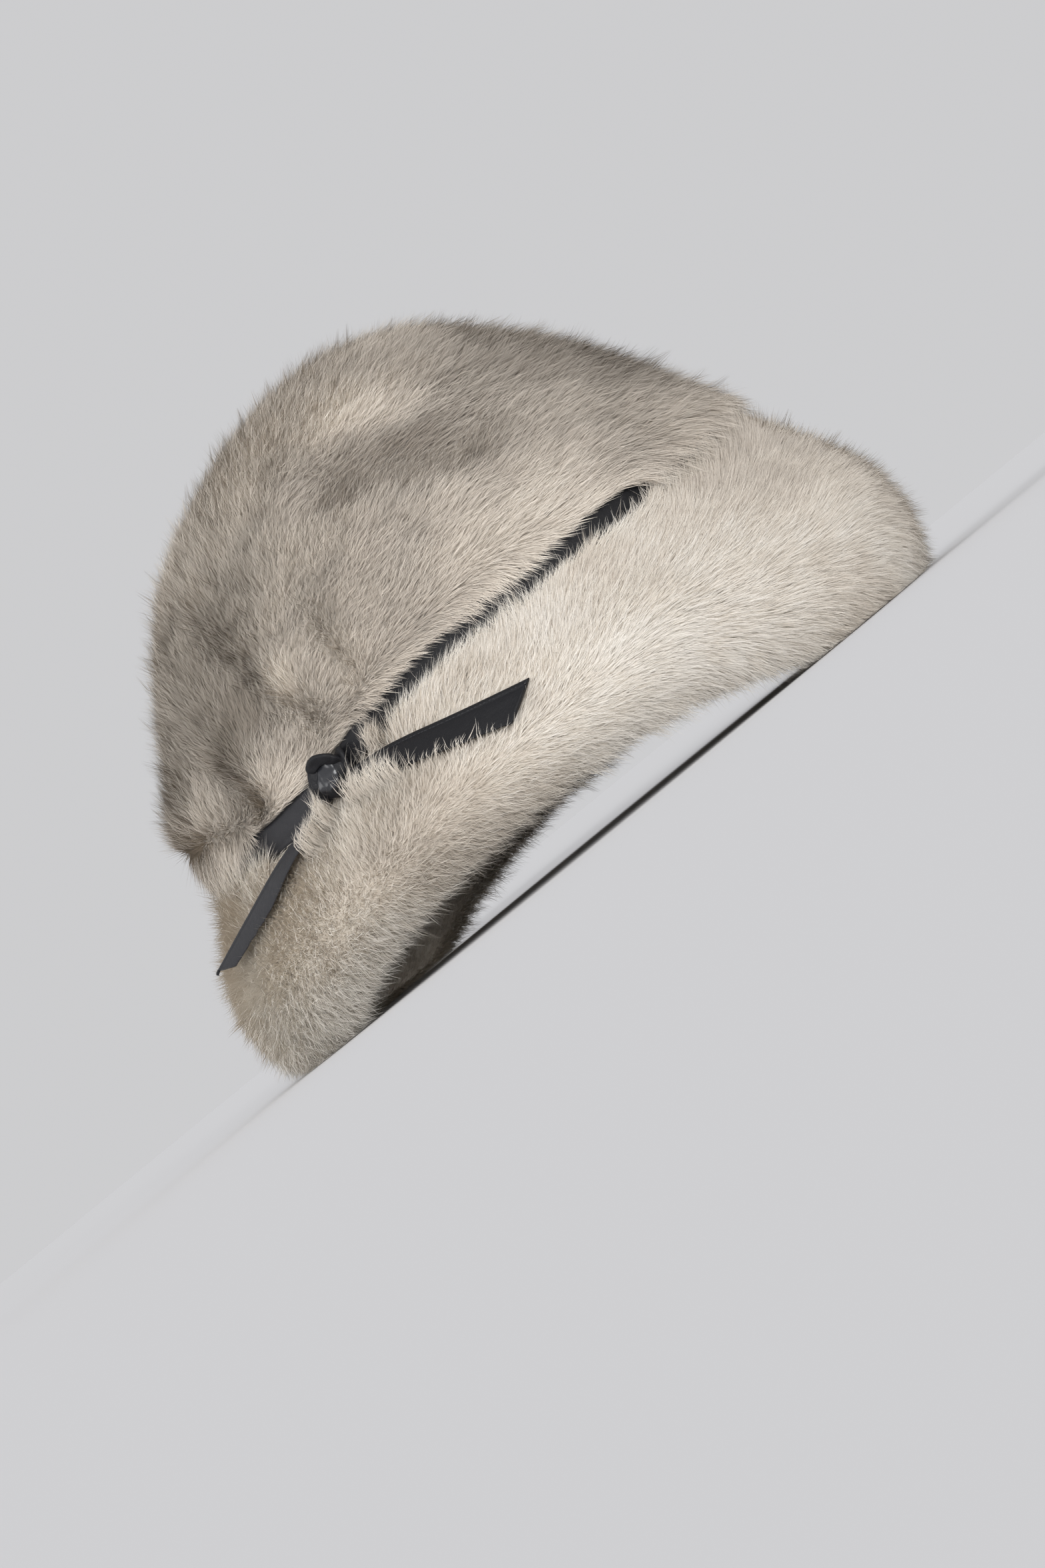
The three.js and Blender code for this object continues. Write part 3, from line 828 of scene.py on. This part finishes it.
# The tufts: the brim's longest guard hair, beside the knot and along the lower edge of the strap's
# front end. It grows from the hide below the leather, stands up over it and half hides it.
# Angles, walk from the band at both ends and how much deeper they root, count, rise from the front,
# length, and lean off the hide in three steps
TUFTS = (
    ((-118.5, -110.5), (13.0, 8.0), 5, 1000, 80, (9, 14), (86, 56, 8)),
    ((-116.5, -111.5), (9.0, 8.0), 4, 360, 74, (12, 16), (86, 62, 20)),
    ((-109.5, -103.5), (4, 9), 6, 420, 66, (7, 12), (80, 50, 14)),
    ((-107.5, -96.5), (9.0, 22), 6, 1000, 64, (7, 13), (80, 48, 8)),
    ((-105.8, -98.0), (0.3, 2), 5, 900, 62, (7, 13), (70, 34, 6)),
    ((-105.4, -100.0), (9.6, 17.8), 4.5, 1000, 60, (13, 18), (66, 28, 0)),
    ((-99.0, -80.0), (21.3, 43.3), 4.2, 560, 44, (3.5, 9.5), (56, 34, 8)),
)
TUFT_ROOT, TUFT_WIDTHS = 0.6, (0.12, 0.22)
# How uneven the tufts are in aim and lean, in degrees, and in tone
TUFT_AIM, TUFT_LEAN, TUFT_TONE = 19, 7, 0.07
# How high a hair is laid over the leather, the most that it may be lifted, and from how far off it is tried
OVER_LEATHER, MOST_LIFT, TRIED_FROM = 0.5, 2.4, 12.0


def laid_over(points, normal):
    """Lifts points that lie under the leather until they are just above it."""
    lifted = points.copy()
    for row, (point, away) in enumerate(zip(points, normal)):
        start = Vector((point + away * TRIED_FROM) * MM)
        for leather in leather_trees:
            distance = leather.ray_cast(start, Vector(-away), TRIED_FROM * MM)[3]
            if distance is not None:
                lift = TRIED_FROM - distance / MM + OVER_LEATHER
                if lift > (lifted[row] - point) @ away:
                    lifted[row] = point + away * lift
    return lifted


tufts = []
for order, (angles, starts, deeper, count, rise, lengths, leans) in enumerate(TUFTS):
    rng = np.random.default_rng(70 + order)
    angle = rng.triangular(angles[0], sum(angles) / 2, angles[1], count)
    angle = np.where(rng.random(count) < 0.5, rng.uniform(*angles, count), angle)
    walk = np.interp(angle, angles, starts) + rng.uniform(0, deeper, count)
    here, normal, forward, _ = surface(brim_fur_form, angle, -walk)
    aim = np.radians(rise + rng.normal(0, TUFT_AIM, count))[:, None]
    comb = forward * np.cos(aim) + np.cross(normal, forward) * np.sin(aim)
    step = (rng.uniform(*lengths, count) / len(leans))[:, None]
    path = [here - normal * TUFT_ROOT]
    for lean in leans:
        lean = np.radians(lean + rng.normal(0, TUFT_LEAN, count))[:, None]
        path.append(path[-1] + (comb * np.cos(lean) + normal * np.sin(lean)) * step)
    plain = np.stack(path, axis=1)
    path = np.stack([path[0]] + [laid_over(points, normal) for points in path[1:]], axis=1)
    tone = tone_with_painted_light(here, BRIM_MOTTLE_AND_PAINTED_LIGHT, BRIM_TONE) + rng.normal(0, TUFT_TONE, count)
    keep = clear_of_leather(path) & (np.abs(path - plain).max(axis=(1, 2)) < MOST_LIFT)
    width = rng.uniform(*TUFT_WIDTHS, count)
    tufts.append(hairs("tuft", path[keep], normal[keep], width[keep], tone[keep], 80))
brim_tufts = joined(tufts, "brim_tufts")
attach(brim_tufts, "root")

# The hat band: one flat strap of thin leather with its edges folded under, laid in the groove over the
# seam all the way round and drawn into the knot at the wearer's right.
STRAP_SECTION = (
    (-2.6, -4.3), (-2.6, 4.3), (-1.9, 4.7), (-0.9, 4.65), (-0.35, 4.1), (-0.2, 2.4), (-0.1, 0), (-0.2, -2.2),
    (-0.5, -2.8), (-0.1, -3.3), (-0.15, -4.1), (-0.8, -4.65), (-1.9, -4.7),
)
# Where the knot is, over how many degrees it gathers the band and by what share of the band's width, and
# how deep the face creases there, in how steep a wave. The face is what lies further out than FACE_FROM.
KNOT_ANGLE, GATHER_REACH, GATHER_SHARE = -109.0, 6, 0.22
CREASE_DEEP, CREASE_TURN, FACE_FROM = 0.25, 2.4, -2
# The band wavers up and down: how far, how often round the hat, and where it starts
BAND_WAVERS = ((0.12, 23, 0), (0.08, 41, 1))


def closed_section(points, steps):
    """Points round a closed outline, smooth between those of a table."""
    table = list(points) + [points[0]]
    return spline(table, steps + 1)[0][:-1]


section = closed_section(STRAP_SECTION, 30)
band_angles = np.arange(300) * 360 / 300 - 180
seam = around(SEAM_HEIGHTS, band_angles)
gathered = np.exp(-(((band_angles - KNOT_ANGLE) / GATHER_REACH) ** 2))
turn = np.radians(band_angles)
waver = sum(much * np.sin(turn * often + start) for much, often, start in BAND_WAVERS)
rings = []
for out, up in section:
    crease = CREASE_DEEP * gathered * math.cos(up * CREASE_TURN) * (out > FACE_FROM)
    ahead, left = oval(band_angles, out + crease)
    height = seam + up * (1 - GATHER_SHARE * gathered) + waver
    rings.append(np.stack([SEAM_MIDDLE + ahead, left, height], axis=1))
hat_band = shell("band_strap", rings, [])

# Thin calf leather, dyed black: a fine pebbled grain with a low satin shine, near black, with a grey sheen
# painted into its colour where the strap's other face turns to the light.
# Marks a metre: pebbles about 0.5 mm wide, and creases about 2.4 mm apart
PEBBLE_SCALE, CREASE_SCALE = 1900.0, 420.0
black_leather, tree, shader = material("black_leather")
place = node(tree, "ShaderNodeTexCoord")
told = node(tree, "ShaderNodeAttribute", {"attribute_name": "painted_sheen"})
pebbles = node(
    tree, "ShaderNodeTexVoronoi", {"feature": "DISTANCE_TO_EDGE"}, {"Scale": PEBBLE_SCALE},
    {"Vector": place.outputs["Object"]},
)
creases = node(
    tree, "ShaderNodeTexNoise", None, {"Scale": CREASE_SCALE, "Detail": 4.0},
    {"Vector": place.outputs["Object"]},
)
# The black dye, mixed towards a painted grey sheen by the share kept on each point
dye_and_painted_sheen = node(tree, "ShaderNodeMix", {"data_type": "RGBA"}, links={"Factor": told.outputs["Fac"]})
dye_and_painted_sheen.inputs["A"].default_value = srgb("151518")
dye_and_painted_sheen.inputs["B"].default_value = srgb("2e2e31")
tree.links.new(dye_and_painted_sheen.outputs["Result"], shader.inputs["Base Color"])
gloss = node(
    tree, "ShaderNodeMapRange", None, {"To Min": 0.38, "To Max": 0.56}, {"Value": creases.outputs["Fac"]}
)
tree.links.new(gloss.outputs["Result"], shader.inputs["Roughness"])
grain = node(tree, "ShaderNodeMath", {"operation": "MINIMUM"}, {1: 0.12}, {0: pebbles.outputs["Distance"]})
fine = node(
    tree, "ShaderNodeBump", None, {"Strength": 0.5, "Distance": 0.0006}, {"Height": grain.outputs["Value"]}
)
soft = node(
    tree, "ShaderNodeBump", None, {"Strength": 0.35, "Distance": 0.0008},
    {"Height": creases.outputs["Fac"], "Normal": fine.outputs["Normal"]},
)
tree.links.new(soft.outputs["Normal"], shader.inputs["Normal"])
shader.inputs["Specular IOR Level"].default_value = 0.26


def leathered(piece, painted_sheen, replaced):
    """Covers a piece with the leather, with a painted grey sheen by a share at each of its points, in place
    of a CAD node.
    """
    noted(piece, "painted_sheen", painted_sheen)
    if not piece.data.materials:
        piece.data.materials.append(black_leather)
    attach(piece, "root")
    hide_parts(replaced)


# Behind the knot the band is painted greyer, a painted sheen, from just behind it to where the fur covers it
# again
GREY_FROM, GREY_OVER, GREY_TO = 3, 5, -150
behind_knot = np.clip((KNOT_ANGLE - GREY_FROM - band_angles) / GREY_OVER, 0, 1) * (band_angles > GREY_TO)
leathered(hat_band, np.tile(behind_knot, len(section)), "hat_band")

# The front end of the strap: its upper edge is folded and stitched, its lower edge is raw, and it is cut
# off aslant. It hangs from the knot and lies on the brim.
# Angle, walk from the band and height over the fur along both edges
FRONT_UPPER = ((-105.1, 0.8, 2.1), (-96.3, 9.7, 0.8), (-84.9, 22.9, 0.7), (-75.2, 31.3, 1.2))
FRONT_LOWER = ((-105, 9, 1.8), (-96.4, 22.8, 0.8), (-87.8, 34.1, 0.7), (-80.4, 41.7, 1.2))
# Across the strap from its folded edge to its raw one, as a share of its width, and how far off the fur
END_SECTION = (
    (0.0, 0.9), (0.03, 0.4), (0.1, 0.12), (0.4, 0.1), (0.8, 0.2), (0.97, 0.5), (1.0, 0.85), (0.98, 1.2),
    (0.85, 1.45), (0.6, 1.6), (0.32, 1.68), (0.24, 1.62), (0.19, 1.42), (0.14, 1.66), (0.07, 1.62),
    (0.02, 1.3),
)
END_STEPS, END_SIDES = 110, 36
# Ripples at the cut end: how soon they fade, how far apart and how slanted they are, in millimetres
RIPPLE_FADE, RIPPLE_PITCH, RIPPLE_SLANT = 4.5, 1.25, 2


def strap_edges(upper, lower, steps):
    """The two edges of a strap end in steps, the way out from its face, and the way along it."""
    top, foot = (spline([brim_place(*spot) for spot in edge], steps)[0] for edge in (upper, lower))
    along = unit(np.gradient(top, axis=0))
    out = unit(np.cross(foot - top, along))
    out *= np.sign(np.sum(out * top * (1, 1, 0), axis=1, keepdims=True))
    return top, foot, out, along


def run_of(name, rings):
    """A closed run of leather through rings of points, with both of its ends shut."""
    return shell(name, rings, [rings[0].mean(axis=0), rings[-1].mean(axis=0)])


def strap_end(name, upper, lower, ripple, ragged, seed):
    """A strap end with its folded edge, its raw edge, and ripples at its cut end."""
    rng = np.random.default_rng(seed)
    top, foot, out, along = strap_edges(upper, lower, END_STEPS)
    gone = walked(top)
    to_end = gone[-1] - gone
    tear = np.convolve(rng.normal(0, 1, END_STEPS + 4), np.ones(5) / 5, "valid") * ragged
    section = closed_section(END_SECTION, END_SIDES)
    share, height = section[:, :1], section[:, 1:]
    from_fold = np.clip(share * 6, 0, 1)
    raw_edge = np.clip(share * 4 - 3, 0, 1)
    rings = []
    for k in range(END_STEPS):
        across = foot[k] - top[k]
        wave = np.sin((to_end[k] - RIPPLE_SLANT * share) * 2 * math.pi / RIPPLE_PITCH)
        lift = height + ripple * math.exp(-to_end[k] / RIPPLE_FADE) * wave * (height > 1) * from_fold
        rings.append(top[k] + across * share + out[k] * lift + across * raw_edge * tear[k])
    return run_of(name, rings), (top, foot, out, along, gone)


tail_front, (top, foot, out, along, gone) = strap_end("strap_front", FRONT_UPPER, FRONT_LOWER, 0.16, 0.02, 3)
leathered(tail_front, 0.0, "tail_front")

# The stitches of the front end: a black thread, one short stitch each millimetre and a half along the
# folded edge, sunk a little in the leather.
STITCH_PITCH, STITCH_IN, STITCH_HIGH = 1.5, 1.75, 1.5
STITCH_FIRST, STITCH_LAST = 1.0, 1.2
STITCH_SIZE = (0.52, 0.2, 0.17)


def made_one(parts, name):
    """Joins parts that stand as objects, and brings their place, turn and size into the mesh."""
    piece = joined(parts, name)
    bpy.ops.object.shade_smooth()
    bpy.ops.object.transform_apply(location=True, rotation=True, scale=True)
    return piece


def ball(middle, ways, size, segments, ring_count):
    """A ball at a place in millimetres, stretched to its half sizes along three ways."""
    bpy.ops.mesh.primitive_uv_sphere_add(segments=segments, ring_count=ring_count, radius=1.0)
    made = bpy.context.object
    made.location = Vector(middle * MM)
    made.rotation_euler = Matrix([Vector(way) for way in ways]).transposed().to_euler()
    made.scale = [half * MM for half in size]
    return made


stitches = []
for run in np.arange(STITCH_FIRST, gone[-1] - STITCH_LAST, STITCH_PITCH):
    k = int(np.argmin(np.abs(gone - run)))
    middle = top[k] + unit(foot[k] - top[k]) * STITCH_IN + out[k] * STITCH_HIGH
    ways = (along[k], np.cross(out[k], along[k]), out[k])
    stitches.append(ball(middle, ways, STITCH_SIZE, 10, 7))
thread = made_one(stitches, "strap_stitches")
# Waxed black thread: smoother than the leather, so each stitch shows as a small glint in its row.
black_thread, tree, shader = material("black_thread")
shader.inputs["Base Color"].default_value = srgb("1b1b1f")
shader.inputs["Roughness"].default_value = 0.34
thread.data.materials.append(black_thread)
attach(thread, "root")

# The back end of the strap: it shows the strap's other face, smooth and painted greyer as a painted sheen,
# with the raw edge below, and flies clear of the fur to a small hooked tip.
BACK_UPPER = ((-112, 0.8, 2), (-125.5, 6, 2.9), (-136.6, 17.2, 3.8), (-146, 27.6, 7.5))
BACK_LOWER = ((-113.5, 8, 3.6), (-121, 13.2, 4.3), (-129, 22.4, 3.4), (-140.8, 29.7, 5.4))
tail_back, (top, foot, out, along, gone) = strap_end("strap_back", BACK_UPPER, BACK_LOWER, 0.05, 0.035, 4)
# The back end carries most of the painted grey sheen
leathered(tail_back, 0.9, "tail_back")
# The hooked tip: ahead of the strap's end and up from it, with its half width; its flatness, and where
# it starts from the strap's upper corner, down and out
HOOK = ((-0.6, 0.6, 0.75), (1.0, 0.3, 0.7), (2.2, -0.5, 0.55), (2.7, -1.9, 0.35))
HOOK_FLAT, HOOK_DOWN, HOOK_OUT = 0.7, 0.8, 0.9
down = unit(foot[-1] - top[-1])
laps = np.linspace(0, 2 * math.pi, 12, endpoint=False)
rings = []
for ahead, rise, half in spline(HOOK, 10)[0]:
    middle = top[-1] + along[-1] * ahead - down * (rise - HOOK_DOWN) + out[-1] * HOOK_OUT
    flat = np.outer(np.sin(laps), out[-1]) * half * HOOK_FLAT
    rings.append(middle + np.outer(np.cos(laps), down) * half + flat)
hook = run_of("strap_hook", rings)
# The hook takes a little painted grey sheen
leathered(hook, 0.2, "tail_back")

# The knot: the strap's last turn, pulled tight over the band in folds, with a crumpled glossy face
# between strands at its left and right and one over its top.
# Each strand: its thickness, then its middle line along the band, up and out, its half width and its
# roll in degrees
KNOT_STRANDS = {
    "left": (2.0, (
        (-1.8, 6.0, 2.4, 1.4, 10), (-3.4, 4.0, 4.0, 2.0, 20), (-5.2, 0.8, 4.6, 2.2, 25),
        (-6.6, -2.2, 3.6, 2.1, 25), (-7.2, -4.4, 1.4, 1.5, 20),
    )),
    "top": (2.0, (
        (-4.2, 4.4, 3.0, 1.3, 0), (-2.0, 5.6, 4.6, 1.8, -15), (1.4, 5.7, 5.4, 2.1, -25),
        (4.0, 4.2, 5.0, 2.1, -25), (5.4, 1.4, 3.4, 1.8, -15), (5.6, -0.8, 1.6, 1.3, 0),
    )),
    "face": (1.7, (
        (2.0, 4.2, 3.0, 2.4, 0), (0.8, 1.2, 4.4, 3.3, 6), (-1.0, -2.0, 5.6, 3.9, 12),
        (-2.8, -4.6, 4.2, 3.4, 12), (-3.8, -6.0, 1.6, 2.2, 0),
    )),
    "right": (1.8, (
        (7.2, 3.4, 0.8, 1.5, -10), (7.2, 1.2, 2.2, 2.1, -25), (5.8, -2.2, 3.0, 2.3, -30),
        (4.2, -5.2, 1.2, 1.7, -20),
    )),
}
STRAND_STEPS, STRAND_SIDES, STRAND_SQUARE = 36, 18, 0.7
# Each strand closes in at both ends: its share of full size there, and what each step inwards adds
STRAND_TIP, STRAND_OPENING = 0.55, 0.15
PLEATS = ((0.22, 3.2, 31), (0.1, 1.3, 32))
# What fills the knot behind its strands: its place along, up and out, and its half length, depth, height
CORE_PLACE, CORE_SIZE = (0.4, -0.3, 2.2), (6.2, 2.6, 5.0)


def seat_point(angle):
    """A place on the seam's own line."""
    ahead, left = oval(angle, 0)
    return np.array([SEAM_MIDDLE + ahead, left, around(SEAM_HEIGHTS, np.array([angle]))[0]])


knot_along = unit(seat_point(KNOT_ANGLE + 1) - seat_point(KNOT_ANGLE - 1))
knot_out = unit(np.array([knot_along[1], -knot_along[0], 0]))
knot_up = np.cross(knot_out, knot_along)


def knot_place(run, rise, out):
    """A place in the knot, by how far it is along the band, up and out."""
    return seat_point(KNOT_ANGLE) + knot_along * run + knot_up * rise + knot_out * out


def strand(name, thick, rows):
    """A run of strap through the knot, from a table of its middle line."""
    line, _ = spline(rows, STRAND_STEPS)
    middle = line[:, :3]
    ahead = unit(np.gradient(middle, axis=0))
    side = unit(np.cross(ahead, (0.0, 0.0, 1.0)))
    side, face = turned(side, np.cross(side, ahead), np.radians(line[:, 4:5]))
    laps = np.linspace(0, 2 * math.pi, STRAND_SIDES, endpoint=False)
    flat = np.sign(np.cos(laps)) * np.abs(np.cos(laps)) ** STRAND_SQUARE
    high = np.sign(np.sin(laps)) * np.abs(np.sin(laps)) ** STRAND_SQUARE
    rings = []
    for k in range(STRAND_STEPS):
        closing = min(1.0, STRAND_TIP + STRAND_OPENING * min(k, STRAND_STEPS - 1 - k))
        across = np.outer(flat * line[k, 3] * closing, side[k])
        ring = middle[k] + across + np.outer(high * thick / 2 * closing, face[k])
        ring = ring + np.outer(swells(ring, PLEATS), face[k])
        rings.append(np.array([knot_place(*point) for point in ring]))
    return run_of(name, rings)


# Where the leather is pulled tight it is crumpled and polished, and catches the light in small facets; its
# colour is also painted a little lighter than the rest, a painted highlight.
# Folds a metre: about 4 mm apart
CRUMPLE_SCALE = 260.0
tight_leather_painted_highlight, tree, shader = material("tight_leather_painted_highlight")
place = node(tree, "ShaderNodeTexCoord")
crumple = node(
    tree, "ShaderNodeTexNoise", {"noise_type": "RIDGED_MULTIFRACTAL"},
    {"Scale": CRUMPLE_SCALE, "Detail": 3.0, "Distortion": 0.6}, {"Vector": place.outputs["Object"]},
)
facets = node(
    tree, "ShaderNodeBump", None, {"Strength": 0.8, "Distance": 0.0010}, {"Height": crumple.outputs["Fac"]}
)
tree.links.new(facets.outputs["Normal"], shader.inputs["Normal"])
# Painted highlight: a base colour a little lighter than the rest of the leather
shader.inputs["Base Color"].default_value = srgb("212226")
shader.inputs["Roughness"].default_value = 0.26
shader.inputs["Specular IOR Level"].default_value = 0.75

strands = []
for name, (thick, rows) in KNOT_STRANDS.items():
    part = strand("knot_" + name, thick, rows)
    part.data.materials.append(tight_leather_painted_highlight if name == "face" else black_leather)
    strands.append(part)
core = ball(knot_place(*CORE_PLACE), (knot_along, knot_out, knot_up), CORE_SIZE, 24, 14)
core.data.materials.append(black_leather)
knot = faced_out(made_one([core] + strands, "knot_folds"))
# The knot takes a little painted grey sheen
leathered(knot, 0.1, "knot")

# The floor: a wide flat sheet of pale matt paper that the hat rests on. It is no part of the hat.
FLOOR_RADIUS = 6.0
bpy.ops.object.select_all(action="DESELECT")
bpy.ops.mesh.primitive_circle_add(vertices=96, radius=FLOOR_RADIUS, fill_type="NGON", location=(0, 0, 0))
floor = bpy.context.object
floor.name = "floor"
floor_paper, tree, shader = material("floor_paper")
shader.inputs["Base Color"].default_value = srgb("e3e3e4")
shader.inputs["Roughness"].default_value = 1.0
shader.inputs["Specular IOR Level"].default_value = 0.0
floor.data.materials.append(floor_paper)

# Soft light: a bright room, and two wide soft suns, from the front and from behind on the camera's side.
# Both light the floor evenly, so the floor's own grey is chosen to meet the room's without an edge.
ROOM_LIGHT = 0.62
world = bpy.data.worlds.new("room")
bpy.context.scene.world = world
world.use_nodes = True
world.node_tree.nodes["Background"].inputs["Color"].default_value = srgb("fdfdff")
world.node_tree.nodes["Background"].inputs["Strength"].default_value = ROOM_LIGHT
bpy.context.scene.view_settings.view_transform = "Standard"
# Each sun: the way towards it, its strength, and how many degrees wide it is
SUNS = {"key": ((0.34, -0.93, 0.08), 3.5, 44), "back": ((-0.80, -0.58, 0.12), 1.2, 50)}
for name, (towards_light, strength, wide) in SUNS.items():
    lamp = bpy.data.lights.new(name, "SUN")
    lamp.energy = strength
    lamp.angle = math.radians(wide)
    in_scene(name, lamp).rotation_euler = Vector(towards_light).to_track_quat("Z", "Y").to_euler()

# The camera: it stands just above the floor at the photograph's angle to the hat, rolled as the
# photograph is, and its picture is shifted until the knot lies where the photograph has it.
AZIMUTH, DISTANCE, HEIGHT = math.radians(14), 1.1, 0.012
ROLL = math.radians(39.2)
AXIS_ACROSS, AXIS_UP = -0.0155, 0.027
FRAME_LONG = 0.511
PICTURE = (1568, 2352)
KNOT_PIXEL = (494, 1164)
SENSOR = 36.0
across = Vector((math.cos(AZIMUTH), math.sin(AZIMUTH), 0))
towards = Vector((math.sin(AZIMUTH), -math.cos(AZIMUTH), 0))
lens = bpy.data.cameras.new("camera")
camera = in_scene("camera", lens)
bpy.context.scene.camera = camera
camera.location = across * AXIS_ACROSS + towards * DISTANCE + Vector((0, 0, HEIGHT))
target = across * AXIS_ACROSS + Vector((0, 0, AXIS_UP))
look = (target - camera.location).normalized()
right = look.cross(Vector((0, 0, 1))).normalized()
above = right.cross(look)
rolled_right = right * math.cos(ROLL) - above * math.sin(ROLL)
rolled_up = above * math.cos(ROLL) + right * math.sin(ROLL)
camera.rotation_euler = Matrix((rolled_right, rolled_up, -look)).transposed().to_euler()
lens.sensor_fit = "AUTO"
lens.sensor_width = SENSOR
lens.lens = SENSOR * DISTANCE / FRAME_LONG
lens.clip_start = 0.01
knot_low, knot_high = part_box("knot")
to_knot = (knot_low + knot_high) / 2 - camera.location
pixels = lens.lens / SENSOR * PICTURE[1] / to_knot.dot(look)
wanted_x = KNOT_PIXEL[0] - PICTURE[0] / 2
wanted_y = PICTURE[1] / 2 - KNOT_PIXEL[1]
lens.shift_x = (to_knot.dot(rolled_right) * pixels - wanted_x) / PICTURE[1]
lens.shift_y = (to_knot.dot(rolled_up) * pixels - wanted_y) / PICTURE[1]
